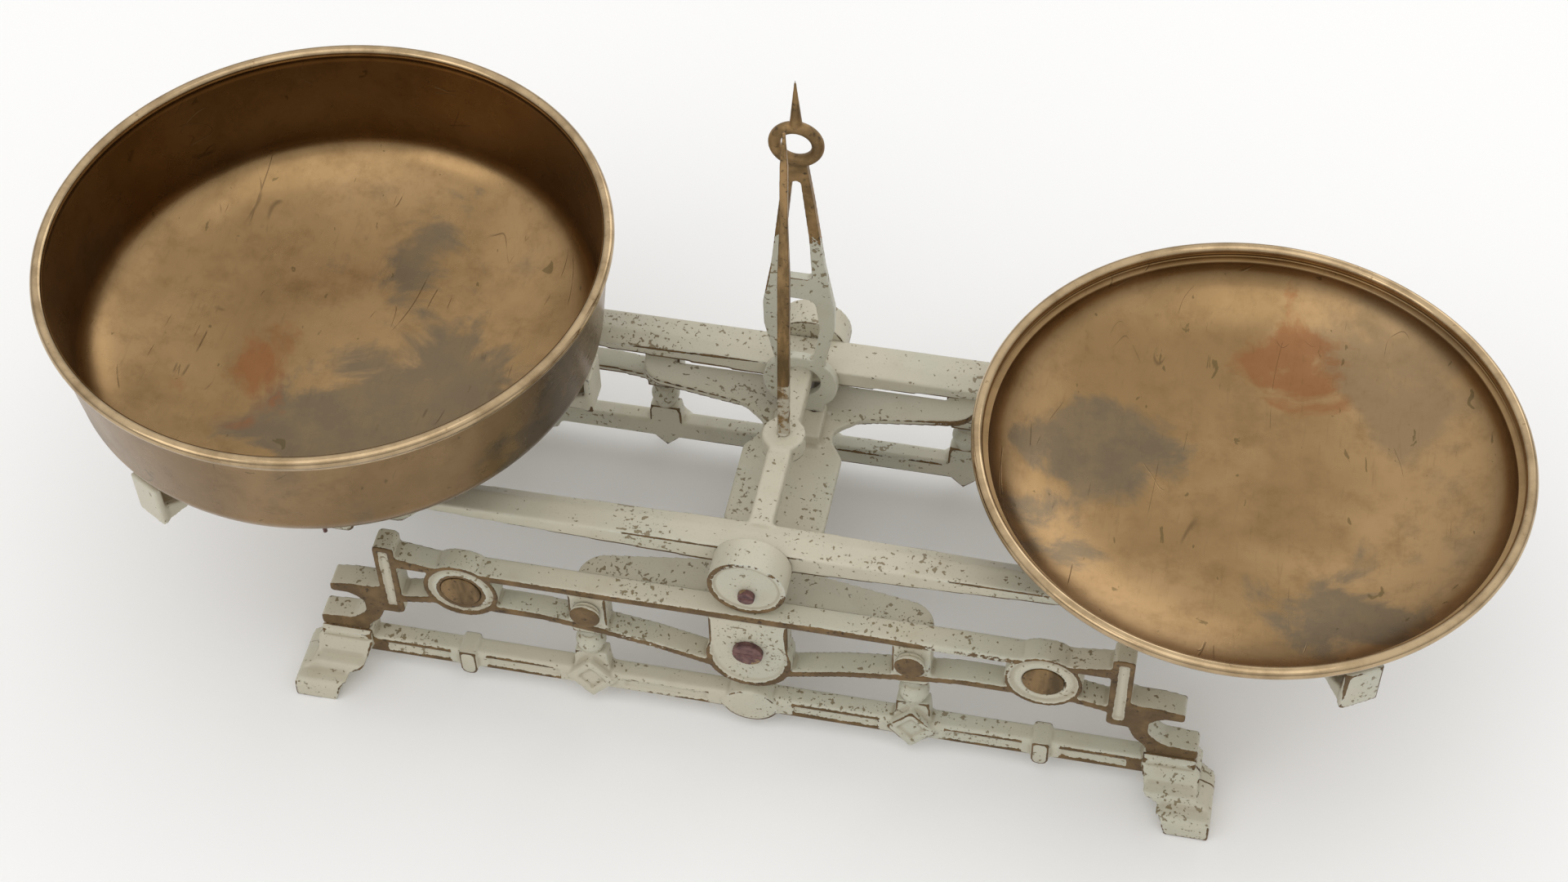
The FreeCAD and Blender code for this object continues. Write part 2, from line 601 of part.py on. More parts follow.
post_foot = box("bearing_foot", ("16", "sizes.beam_width - 3", "3.2"),
                ("-8", BEAM_IN_F + " + 1.5", DECK_TOP_F))
post_column = box("bearing_column",
                  ("2 * sizes.knife_half - 1.2", "sizes.beam_width - 5.4",
                   "sizes.fulcrum_height + 0.8 - " + DECK_TOP_F),
                  ("-sizes.knife_half + 0.6", BEAM_IN_F + " + 2.7", DECK_TOP_F))
rear_post = grooved("fulcrum_post", fuse("bearing_post", [post_foot, post_column]),
                    "0", BEAM_IN_F, FULCRUM_F + " - sizes.edge_gap", UP_GROOVE)
part(rear_post, "rear_fulcrum_bearing")
part(mirrored("front_fulcrum_mirror", rear_post, Vector(0, 1, 0)), "front_fulcrum_bearing")

# Hanger of the stay, with its pin and screws
hanger_top = box("hanger_top", ("30", "20", "3"), ("-15", "-10", DECK_LOW_F + " - 3"))
HANGER_IN = "(sizes.stay_half + 1)"
cheeks = []
for hand in ("-1", "1"):
    cheeks.append(box("hanger_cheek", ("15", "3", DECK_LOW_F + " - sizes.stay_height + 7"),
                      ("-7.5", hand + " * (" + HANGER_IN + " + 1.5) - 1.5", "sizes.stay_height - 7")))
hanger_block = fuse("hanger_block", [hanger_top] + cheeks)
hanger_bore = rod("hanger_bore", "y", "sizes.pin_radius", "40", ("0", "-20", "sizes.stay_height"))
screw_bores = [rod("hanger_screw_bore", "z", "1.5", "10", ("%d" % (hand * 11), "0", DECK_LOW_F + " - 7"))
               for hand in (-1, 1)]
hanger_drill = group("hanger_drill", [hanger_bore] + screw_bores)
part(cut("stay_hanger_cut", hanger_block, hanger_drill), "stay_hanger")
part(rod("stay_pivot_pin_rod", "y", "sizes.pin_radius", "2 * " + HANGER_IN + " + 10",
         ("0", "-" + HANGER_IN + " - 5", "sizes.stay_height")), "stay_pivot_pin")
hanger_screws = []
for hand in (-1, 1):
    spot_x = "%d" % (hand * 11)
    shaft = rod("hanger_screw_shaft", "z", "1.5", "5", (spot_x, "0", DECK_LOW_F + " - 3"))
    cap = rod("hanger_screw_cap", "z", "2.8", "1.8", (spot_x, "0", DECK_LOW_F + " - 4.8"))
    hanger_screws.append(fuse("hanger_screw", [shaft, cap]))
part(group("hanger_screws_group", hanger_screws), "hanger_screws")

# ---------------------------------------------------------------- beam

INNER_BEAM = BEAM_OUT - mm("beam_width")
ROOT = 1.0
EDGE = mm("fulcrum_height")
BEAM_TOP = EDGE + mm("beam_rise")
SPAN = mm("arm_span")
KNIFE = mm("knife_half")
TALL = mm("knife_height")


def knife(x, y0, y1, up):
    """A knife along Y with its edge at the height of all edges; up is 1 or -1."""
    points = [(x, EDGE, 0), (x + KNIFE, EDGE - up * 5, 0), (x + KNIFE, EDGE - up * TALL, 0),
              (x - KNIFE, EDGE - up * TALL, 0), (x - KNIFE, EDGE - up * 5, 0)]
    return slab(points, "xz", y0, y1)


def beam_section(x, depth, drop):
    """The beam's section at x: a flat top, a sloping shoulder inwards and a straight inner side."""
    low = BEAM_TOP - depth
    flat = BEAM_OUT - mm("beam_flat")
    inner = BEAM_OUT - mm("beam_width")
    corners = [(BEAM_OUT, low), (BEAM_OUT, BEAM_TOP), (flat, BEAM_TOP), (inner, BEAM_TOP - drop), (inner, low)]
    spots = [Vector(x, u, v) for u, v in corners]
    return Part.makePolygon(spots + spots[:1])


def beam():
    """The beam: two sides joined by a crossbar, with a cheek at each of its four ends."""
    deep = mm("beam_deep")
    shallow = mm("beam_shallow")
    arm_end = SPAN - 48
    middle = Part.makeLoft([beam_section(-16, deep, 1.8), beam_section(16, deep, 1.8)], True, True)
    arm_sections = [beam_section(16, deep, 1.8), beam_section(arm_end, shallow, shallow - 0.4)]
    arm = Part.makeLoft(arm_sections, True, True)
    tongue = mm("cheek_half")
    s = SPAN
    t = BEAM_TOP
    cheek = slab([(arm_end - 1, t, 0), (arm_end - 1, t - shallow, 0), (s - 38.6, t - 14.9, 3),
                  (s - tongue - 3, t - 14.9, 3), (s - tongue, t - 26.6, 4), (s + tongue, t - 26.6, 6),
                  (s + tongue + 4, t - 12, 6), (s + tongue + 6, t, 3)],
                 "xz", BEAM_OUT - mm("beam_flat"), BEAM_OUT)
    seat = knife(SPAN, 0, BEAM_OUT + 1, 1)
    pin_hole = Part.makeCylinder(0.9, 8, Vector(SPAN - 3, BEAM_OUT - mm("beam_flat") / 2, t - 27))
    side = both_sides(joined([arm, cheek]).cut(seat).cut(pin_hole)).fuse(middle)
    side = side.cut(bar(-KNIFE, KNIFE, INNER_BEAM + ROOT, BEAM_OUT + 1, EDGE - 1, EDGE + TALL))
    cross_low = BEAM_TOP - mm("cross_deep")
    half_cross = mm("cross_half")
    root = INNER_BEAM + ROOT
    cross = bar(-half_cross, half_cross, -root, root, cross_low, BEAM_TOP)
    seat_y = mm("seat_place")
    seat_spot = Vector(0, seat_y, cross_low - 0.8)
    seat_disc = Part.makeCylinder(mm("seat_radius"), mm("cross_deep") + 1.6, seat_spot)
    whole = side.fuse(flip(side, Vector(0, 1, 0))).fuse(cross).fuse(seat_disc)
    spigot = Part.makeCylinder(1.4, 8, Vector(0, seat_y, BEAM_TOP + 0.8 - 6))
    return whole.cut(spigot).removeSplitter()


cast("balance_beam", beam())
fulcrum_knife = knife(0, INNER_BEAM + ROOT, BEAM_OUT, -1)
cast("fulcrum_knives", Part.makeCompound([fulcrum_knife, flip(fulcrum_knife, Vector(0, 1, 0))]))
for label, hand in (("left_end_knives", -1), ("right_end_knives", 1)):
    end_knife = knife(hand * SPAN, INNER_BEAM - 10, BEAM_OUT, 1)
    cast(label, Part.makeCompound([end_knife, flip(end_knife, Vector(0, 1, 0))]))


def needle():
    """A flat needle that tapers to a bevelled tip and leans a little."""
    foot = BEAM_TOP + 0.8
    wide = mm("needle_width") / 2
    long = mm("needle_length")
    seat_y = mm("seat_place")
    sections = []
    for level, half_x, half_y in ((0.4, wide, 1.7), (long * 0.55, wide * 0.98, 1.6), (long * 0.72, wide * 0.66, 1.2),
                                  (long * 0.9, wide * 0.62, 1.1), (long, 0.5, 0.5)):
        turns = ((-1, -1), (1, -1), (1, 1), (-1, 1))
        corners = [Vector(u * half_x, seat_y + v * half_y, foot + level) for u, v in turns]
        sections.append(Part.makePolygon(corners + corners[:1]))
    blade = Part.makeLoft(sections, True, True)
    blade.rotate(Vector(0, seat_y, foot), Vector(0, 1, 0), mm("needle_lean"))
    flat_foot = Part.makeCylinder(2.6, 0.9, Vector(0, seat_y, foot))
    spigot = Part.makeCylinder(1.4, 6.4, Vector(0, seat_y, foot - 6))
    return blade.fuse(flat_foot).fuse(spigot).removeSplitter()


cast("needle", needle())

CAP_Z_F = "(sizes.fulcrum_height + sizes.eye_rise)"
cap_round = rod("cap_round", "y", "sizes.eye_radius", "sizes.cap_depth",
                ("0", "-" + BEAM_OUT_F + " - sizes.cap_depth", CAP_Z_F))
cap_dish = rod("cap_dish", "y", "sizes.eye_radius - 2.2", "0.9 + 1",
               ("0", "-" + BEAM_OUT_F + " - sizes.cap_depth - 1", CAP_Z_F))
cap_bore = rod("cap_bore", "y", "sizes.cap_screw / 2", "9",
               ("0", "-" + BEAM_OUT_F + " - sizes.cap_depth", CAP_Z_F + " - 4.2"))
front_cap = cut("front_cap_cut", cap_round, group("front_cap_tools", [cap_dish, cap_bore]))
part(front_cap, "front_beam_cap")
part(mirrored("rear_cap_mirror", front_cap, Vector(0, 1, 0)), "rear_beam_cap")
cap_screw = slotted_screw("cap_screw", "sizes.cap_screw", "sizes.cap_screw / 2", "7.5", "0", CAP_Z_F + " - 4.2",
                          "(-" + BEAM_OUT_F + " - sizes.cap_depth + 0.9)")
rear_cap_screw = mirrored("cap_screw_rear", cap_screw, Vector(0, 1, 0))
part(group("cap_screws_group", [cap_screw, rear_cap_screw]), "cap_screws")

cheek_pin = rod("cheek_pin", "z", "0.9", "13",
                ("sizes.arm_span - 3", BEAM_OUT_F + " - sizes.beam_flat / 2",
                 FULCRUM_F + " + sizes.beam_rise - 35"))
part(four("cheek_pins_group", cheek_pin), "cheek_pins")

# ---------------------------------------------------------------- stay

stay_half_f = "sizes.stay_half"
stay_bar = box("stay_strip", ("2 * sizes.arm_span", "2 * " + stay_half_f, "sizes.stay_depth"),
               ("-sizes.arm_span", "-" + stay_half_f, "sizes.stay_height - sizes.stay_depth / 2"))
stay_hub = rod("stay_hub", "y", "sizes.stay_depth", "2 * " + stay_half_f,
               ("0", "-" + stay_half_f, "sizes.stay_height"))
stay_eyes = []
stay_bores = [rod("stay_hub_bore", "y", "sizes.pin_radius + sizes.running", "20",
                  ("0", "-10", "sizes.stay_height"))]
for hand in ("-", ""):
    stay_eyes.append(rod("stay_eye", "y", "sizes.stay_depth * 0.8", "2 * " + stay_half_f,
                         (hand + "sizes.arm_span", "-" + stay_half_f, "sizes.stay_height")))
    stay_bores.append(rod("stay_eye_bore", "y", "sizes.pin_radius + sizes.pass_gap", "20",
                          (hand + "sizes.arm_span", "-10", "sizes.stay_height")))
stay_block = fuse("stay_block", [stay_bar, stay_hub] + stay_eyes)
part(cut("stay_cut", stay_block, group("stay_drill", stay_bores)), "stay")

# ---------------------------------------------------------------- carriers

SEAT_Z = EDGE + mm("pan_seat")
YOKE_LOW_F = "(sizes.fulcrum_height + 8)"
SPIDER_LOW_F = "(sizes.fulcrum_height + sizes.pan_seat - sizes.arm_thick)"


def spider(hand, reach, outwards, forwards):
    """Three arms with upturned tabs on a round hub; the stem's hole is that far off the hub's axis."""
    low = SEAT_Z - mm("arm_thick")
    wide = mm("arm_width")
    tab = mm("tab_thick")
    pieces = [Part.makeCylinder(19, mm("arm_thick"), Vector(0, 0, low))]
    for turn in (180, 60, -60):
        arm = joined([
            bar(0, reach + tab, -wide / 2, wide / 2, low, SEAT_Z - 0.6),
            bar(reach, reach + tab, -wide / 2 - 0.8, wide / 2 + 0.8, low, low + mm("tab_height")),
            slab([(reach - 9, SEAT_Z - 1, 0), (reach, SEAT_Z - 1, 0), (reach, SEAT_Z + 3.5, 0)],
                 "xz", -wide / 2, -wide / 2 + 2.5),
            slab([(reach - 9, SEAT_Z - 1, 0), (reach, SEAT_Z - 1, 0), (reach, SEAT_Z + 3.5, 0)],
                 "xz", wide / 2 - 2.5, wide / 2),
        ])
        arm.rotate(Vector(), Vector(0, 0, 1), turn)
        pieces.append(arm)
    stem_hole = Part.makeCylinder(mm("stem_radius") - 1, 20, Vector(outwards, -forwards, low - 5))
    whole = joined(pieces).cut(stem_hole)
    return flip(whole, Vector(1, 0, 0)) if hand < 0 else whole


def carrier(side, hand):
    """The pieces under a spider: yoke with two grooves, stem, clevis and its pin."""
    centre = "%d * sizes.arm_span" % hand
    leg = "(" + BEAM_IN_F + " - 8.5)"
    crossbar = box(side + "_yoke_bar",
                   ("12", "2 * (" + BEAM_IN_F + " - 1.5)", SPIDER_LOW_F + " - " + YOKE_LOW_F),
                   (centre + " - 6", "-" + BEAM_IN_F + " + 1.5", YOKE_LOW_F))
    legs = []
    for way in (-1, 1):
        corner = "%d * (%s + 3.5) - 3.5" % (way, leg)
        block = box(side + "_yoke_leg", ("10", "7", SPIDER_LOW_F + " - sizes.fulcrum_height + 1.4"),
                    (centre + " - 5", corner, FULCRUM_F + " - 1.4"))
        legs.append(grooved(side + "_yoke_groove", block, centre, corner + " - 2",
                            FULCRUM_F + " + sizes.edge_gap", DOWN_GROOVE))
    bore = rod(side + "_yoke_bore", "z", "sizes.stem_radius - 1", "20", (centre, "0", YOKE_LOW_F + " - 5"))
    part(cut(side + "_yoke_cut", fuse(side + "_yoke_block", [crossbar] + legs), bore), side + "_yoke")
    clevis_top = "(sizes.stay_height + 11)"
    shaft = rod(side + "_stem_shaft", "z", "sizes.stem_radius", YOKE_LOW_F + " - " + clevis_top,
                (centre, "0", clevis_top))
    spigot = rod(side + "_stem_spigot", "z", "sizes.stem_radius - 1",
                 "sizes.fulcrum_height + sizes.pan_seat - 0.6 - " + YOKE_LOW_F, (centre, "0", YOKE_LOW_F))
    part(fuse(side + "_stem_rod", [shaft, spigot]), side + "_stem")
    block = box(side + "_clevis_block", ("15", "2 * " + HANGER_IN + " + 6", "19.5"),
                (centre + " - 7.5", "-" + HANGER_IN + " - 3", "sizes.stay_height - 8.5"))
    slot = box(side + "_clevis_slot", ("40", "2 * " + HANGER_IN, "17"),
               (centre + " - 20", "-" + HANGER_IN, "sizes.stay_height - 9.5"))
    pin_bore = rod(side + "_clevis_bore", "y", "sizes.pin_radius", "40", (centre, "-20", "sizes.stay_height"))
    part(cut(side + "_clevis_cut", block, group(side + "_clevis_tools", [slot, pin_bore])), side + "_clevis")
    part(rod(side + "_stay_pin_rod", "y", "sizes.pin_radius", "2 * " + HANGER_IN + " + 8",
             (centre, "-" + HANGER_IN + " - 4", "sizes.stay_height")), side + "_stay_pin")



class Pan:
    """The outer profile of a spun pan: flat floor, elliptic knuckle, leaning wall."""

    def __init__(self, label, centre, radius, depth, metal, floor, lean, knuckle):
        self.label = label
        self.metal = metal
        self.centre_x, self.centre_y = centre
        self.depth = depth
        self.floor = floor
        self.knuckle = knuckle
        self.wall_top = radius - mm("bead_radius")
        self.wall_low = self.wall_top - lean

    def radius_at(self, height):
        """The knuckle's outer radius at a height over the underside."""
        share = 1 - height / self.knuckle
        return self.floor + (self.wall_low - self.floor) * math.sqrt(1 - share ** 2)


DEEP = Pan("deep_pan", ("-sizes.arm_span + sizes.deep_shift_in", "sizes.deep_shift_back"), mm("deep_radius"),
           mm("deep_depth"), mm("deep_sheet"), 42.0, 4.4, 24.0)
SHALLOW = Pan("shallow_pan", ("sizes.arm_span", "0"), mm("shallow_radius"), mm("shallow_depth"),
              mm("shallow_sheet"), 46.0, 2.6, 24.0)
TAB_OVER_SEAT = mm("tab_height") - mm("arm_thick")
GAP = mm("pass_gap")
left_spider = spider(-1, DEEP.radius_at(TAB_OVER_SEAT) + GAP, mm("deep_shift_in"), mm("deep_shift_back"))
place(cast("left_spider", left_spider), DEEP.centre_x, DEEP.centre_y, "0")
carrier("left", -1)
right_spider = spider(1, SHALLOW.radius_at(TAB_OVER_SEAT) + GAP, 0, 0)
place(cast("right_spider", right_spider), SHALLOW.centre_x, SHALLOW.centre_y, "0")
carrier("right", 1)

# ---------------------------------------------------------------- pans


def spun(pan):
    """A spun pan with a rolled rim, revolved about its own axis."""
    label = pan.label
    body = doc.addObject("PartDesign::Body", label + "_body")
    plane = plane_of(body, "XZ_Plane")
    metal = pan.metal
    bead = mm("bead_radius")
    wall_top = pan.wall_top
    wall_low = pan.wall_low
    floor = pan.floor
    knuckle = pan.knuckle
    rise = pan.depth - bead
    sketch = body.newObject("Sketcher::SketchObject", label + "_profile")
    sketch.AttachmentSupport = [(plane, "")]
    sketch.MapMode = "FlatFace"
    centre = Vector(floor, knuckle, 0)
    outer = Part.ArcOfEllipse(Part.Ellipse(centre, wall_low - floor, knuckle), 1.5 * math.pi, 2 * math.pi)
    inner = Part.ArcOfEllipse(Part.Ellipse(centre, wall_low - metal - floor, knuckle - metal),
                              1.5 * math.pi, 2 * math.pi)
    for edge in (Part.LineSegment(Vector(0, 0, 0), Vector(floor, 0, 0)), outer,
                 Part.LineSegment(Vector(wall_low, knuckle, 0), Vector(wall_top, rise, 0)),
                 Part.LineSegment(Vector(wall_top, rise, 0), Vector(wall_top - metal, rise, 0)),
                 Part.LineSegment(Vector(wall_top - metal, rise, 0), Vector(wall_low - metal, knuckle, 0)),
                 inner, Part.LineSegment(Vector(floor, metal, 0), Vector(0, metal, 0)),
                 Part.LineSegment(Vector(0, metal, 0), Vector(0, 0, 0))):
        sketch.addGeometry(edge, False)
    wall = body.newObject("PartDesign::Revolution", label + "_wall")
    wall.Profile = sketch
    wall.ReferenceAxis = (sketch, ["V_Axis"])
    wall.Angle = 360
    doc.recompute()
    ring = body.newObject("Sketcher::SketchObject", label + "_rim_profile")
    ring.AttachmentSupport = [(plane, "")]
    ring.MapMode = "FlatFace"
    ring.addGeometry(Part.Circle(Vector(wall_top, rise, 0), Vector(0, 0, 1), bead), False)
    rim = body.newObject("PartDesign::Revolution", label + "_rim")
    rim.Profile = ring
    rim.ReferenceAxis = (ring, ["V_Axis"])
    rim.Angle = 360
    place(body, pan.centre_x, pan.centre_y, "sizes.fulcrum_height + sizes.pan_seat")
    return part(body, label)


spun(DEEP)
spun(SHALLOW)

# ---------------------------------------------------------------- check and write

doc.recompute()
for obj in doc.Objects:
    faults = [state for state in obj.State if state in ("Invalid", "Error")]
    if faults:
        raise RuntimeError("%s (%s): %s" % (obj.Name, obj.Label, faults))
os.makedirs("parts", exist_ok=True)
for obj in PARTS:
    if obj.Shape.isNull() or not obj.Shape.isValid():
        raise RuntimeError("%s has no valid shape" % obj.Label)
    box_of = obj.Shape.BoundBox
    print("%-24s solids %d volume %9.1f  x %7.1f %7.1f  y %6.1f %6.1f  z %6.1f %6.1f" % (
        obj.Label, len(obj.Shape.Solids), obj.Shape.Volume, box_of.XMin, box_of.XMax, box_of.YMin,
        box_of.YMax, box_of.ZMin, box_of.ZMax))
for obj in PARTS:
    obj.Shape.exportStep("parts/%s.step" % obj.Label)
print("%d sub-parts" % len(PARTS))
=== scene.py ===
# %% [markdown]
# # A counter balance in old cream paint and brass
# The real object stands on two cast side frames. A beam rocks on knives between them and carries two
# loose brass pans. The design model already holds every size, so this file only gives the pieces their
# finish: soft cast edges, flaked paint, blotched brass. It is read in small cells, from top to bottom.

# %% Load the frame
import json
import math

import bmesh
import bpy
import numpy as np
from mathutils import Matrix, Vector


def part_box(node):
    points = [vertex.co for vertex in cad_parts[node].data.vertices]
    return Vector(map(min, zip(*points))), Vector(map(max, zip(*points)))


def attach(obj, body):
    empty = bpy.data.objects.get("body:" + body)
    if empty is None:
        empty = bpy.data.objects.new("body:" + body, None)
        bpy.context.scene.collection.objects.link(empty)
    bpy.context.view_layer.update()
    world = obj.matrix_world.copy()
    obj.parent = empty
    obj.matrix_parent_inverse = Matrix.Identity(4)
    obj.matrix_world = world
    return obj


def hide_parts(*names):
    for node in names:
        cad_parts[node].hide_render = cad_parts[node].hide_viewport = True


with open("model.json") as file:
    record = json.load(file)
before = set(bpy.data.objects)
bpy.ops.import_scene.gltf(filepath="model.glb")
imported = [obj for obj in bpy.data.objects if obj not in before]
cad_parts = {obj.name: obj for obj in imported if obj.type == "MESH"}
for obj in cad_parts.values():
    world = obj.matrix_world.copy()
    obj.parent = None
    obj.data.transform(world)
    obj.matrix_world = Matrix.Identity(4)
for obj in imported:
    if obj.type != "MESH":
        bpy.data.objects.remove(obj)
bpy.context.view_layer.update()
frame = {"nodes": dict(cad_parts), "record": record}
BODY_OF = {
    node: body
    for body, nodes in frame["record"]["behaviour"]["bodies"].items()
    for node in nodes
}
SLOT_OF = {row["node"]: row["material_slot"] for row in frame["record"]["subparts"]}
MM = 0.001

# %% [markdown]
# ## The camera
# The view looks down steeply, a little from the right-hand side of the balance's middle, as a person
# who stands at the counter sees it. The camera's axes are worked out from three angles: yaw turns the
# view about the vertical, pitch dips it and roll tips the horizon.

# %% Camera
YAW, PITCH, ROLL = (math.radians(angle) for angle in (12.695, 50.266, -1.597))
EYE = (0.1473, -0.6500, 0.8963)
SENSOR_WIDTH, FOCAL_LENGTH = 36.0, 61.52
FARTHEST = 20
ahead = Vector((-math.sin(YAW) * math.cos(PITCH), math.cos(YAW) * math.cos(PITCH), -math.sin(PITCH)))
level = Vector((math.cos(YAW), math.sin(YAW), 0))
upright = level.cross(ahead)
right = math.cos(ROLL) * level + math.sin(ROLL) * upright
up = -math.sin(ROLL) * level + math.cos(ROLL) * upright
lens = bpy.data.cameras.new("counter_view")
lens.sensor_width = SENSOR_WIDTH
lens.lens = FOCAL_LENGTH
lens.clip_end = FARTHEST
camera = bpy.data.objects.new("counter_view", lens)
turn = Matrix((right, up, -ahead)).transposed().to_4x4()
camera.matrix_world = Matrix.Translation(EYE) @ turn
bpy.context.scene.collection.objects.link(camera)
bpy.context.scene.camera = camera
print("camera looks along", [round(value, 3) for value in ahead])

# %% [markdown]
# ## Node helpers
# Every finish below is a small network of nodes. Written by hand, each node takes four lines, so a
# short class keeps the networks readable: a method makes one node and returns its output socket, and
# a value given to it may be a plain number or another socket.


# %% A small vocabulary for materials
COLOUR_A, COLOUR_B, COLOUR_OUT = 6, 7, 2  # the colour sockets of a mix node


class Finish:
    """A material under construction; each method adds one node and returns its output."""

    def __init__(self, name):
        self.material = bpy.data.materials.new(name)
        self.material.use_nodes = True
        self.nodes = self.material.node_tree.nodes
        self.links = self.material.node_tree.links
        self.shader = self.nodes["Principled BSDF"]
        coordinates = self.nodes.new("ShaderNodeTexCoord")
        self.place = coordinates.outputs["Object"]

    def feed(self, socket, value):
        if isinstance(value, bpy.types.NodeSocket):
            self.links.new(value, socket)
        elif isinstance(value, tuple) and len(value) == 3 and socket.type == "RGBA":
            socket.default_value = (*value, 1)
        else:
            socket.default_value = value

    def set(self, **values):
        for name, value in values.items():
            self.feed(self.shader.inputs[name.replace("_", " ")], value)

    def stretched(self, scale, shift=(0, 0, 0), spin=(0, 0, 0)):
        """The object's own coordinates, moved, turned and stretched."""
        node = self.nodes.new("ShaderNodeMapping")
        self.feed(node.inputs["Vector"], self.place)
        node.inputs["Location"].default_value = shift
        node.inputs["Rotation"].default_value = spin
        node.inputs["Scale"].default_value = scale
        return node.outputs[0]

    def noise(self, scale, detail=4, rough=0.55, at=None, twist=0.0):
        """Cloudy noise from 0 to 1; scale is in clouds per metre."""
        node = self.nodes.new("ShaderNodeTexNoise")
        self.feed(node.inputs["Vector"], at or self.place)
        settings = (("Scale", scale), ("Detail", detail), ("Roughness", rough), ("Distortion", twist))
        for name, value in settings:
            node.inputs[name].default_value = value
        return node.outputs[0]

    def cells(self, scale):
        """Distance to the nearest of scattered points, in shares of a cell."""
        node = self.nodes.new("ShaderNodeTexVoronoi")
        self.feed(node.inputs["Vector"], self.place)
        node.inputs["Scale"].default_value = scale
        return node.outputs["Distance"]

    def calc(self, operation, *values, clamp=False):
        node = self.nodes.new("ShaderNodeMath")
        node.operation = operation
        node.use_clamp = clamp
        for socket, value in zip(node.inputs, values):
            self.feed(socket, value)
        return node.outputs[0]

    def fade(self, value, low, high, start=0.0, end=1.0):
        """Start below low and end above high, with a smooth step between."""
        node = self.nodes.new("ShaderNodeMapRange")
        node.interpolation_type = "SMOOTHSTEP"
        for name, number in (("From Min", low), ("From Max", high), ("To Min", start), ("To Max", end)):
            node.inputs[name].default_value = number
        self.feed(node.inputs["Value"], value)
        return node.outputs["Result"]

    def blend(self, share, first, second):
        """The first colour at share 0 and the second at share 1."""
        node = self.nodes.new("ShaderNodeMix")
        node.data_type = "RGBA"
        self.feed(node.inputs[0], share)
        self.feed(node.inputs[COLOUR_A], first)
        self.feed(node.inputs[COLOUR_B], second)
        return node.outputs[COLOUR_OUT]

    def mark(self, name):
        """A value that the mesh carries at each vertex."""
        node = self.nodes.new("ShaderNodeAttribute")
        node.attribute_name = name
        return node.outputs["Fac"]

    def axis(self, index):
        """One of the object's own coordinates, in metres."""
        node = self.nodes.new("ShaderNodeSeparateXYZ")
        self.feed(node.inputs[0], self.place)
        return node.outputs[index]

    def relief(self, height, depth, strength=1.0, under=None):
        """A bump of that depth in metres, on top of another bump."""
        node = self.nodes.new("ShaderNodeBump")
        node.inputs["Strength"].default_value = strength
        node.inputs["Distance"].default_value = depth
        self.feed(node.inputs["Height"], height)
        if under is not None:
            self.feed(node.inputs["Normal"], under)
        return node.outputs[0]


print("finish helpers ready")

# %% [markdown]
# ## Cream paint that has flaked
# The castings were painted in a thick cream enamel. It has yellowed unevenly, is speckled where the
# bronze shows through in pinholes, and has come off along the arrises that hands and cloths reach.
# Where it is gone the brown metal lies lower than the paint. The castings carry a value called wear,
# high along each arris, made further down from the curvature of the mesh. Adding noise to it makes a
# long ragged stripe, and a threshold turns that into paint or metal. Two more values, hollow and front,
# mark the hollows, darkened as painted shade, and the foremost faces, which are rubbed bare as well.


# %% Cream paint
CREAM = (0.535, 0.497, 0.385)
YELLOWED = (0.43, 0.36, 0.24)
PAINTED_HOLLOW_SHADE = (0.30, 0.245, 0.155)
SPECK = (0.31, 0.27, 0.19)
CHALK = (0.58, 0.585, 0.52)
PINHOLE = (0.17, 0.12, 0.045)
NEAR_BLACK = (0.045, 0.028, 0.014)
FLAKE_START, FLAKE_END = 0.62, 0.66
PAINT_DEPTH = 0.0005


def bare_bronze(finish, dark=(0.115, 0.071, 0.030), light=(0.200, 0.124, 0.053)):
    """Patina of the bare metal: two browns and near-black pits mixed by noise."""
    brown = finish.blend(finish.fade(finish.noise(120, 6), 0.35, 0.7), dark, light)
    return finish.blend(finish.fade(finish.noise(420, 4), 0.55, 0.75), brown, NEAR_BLACK)


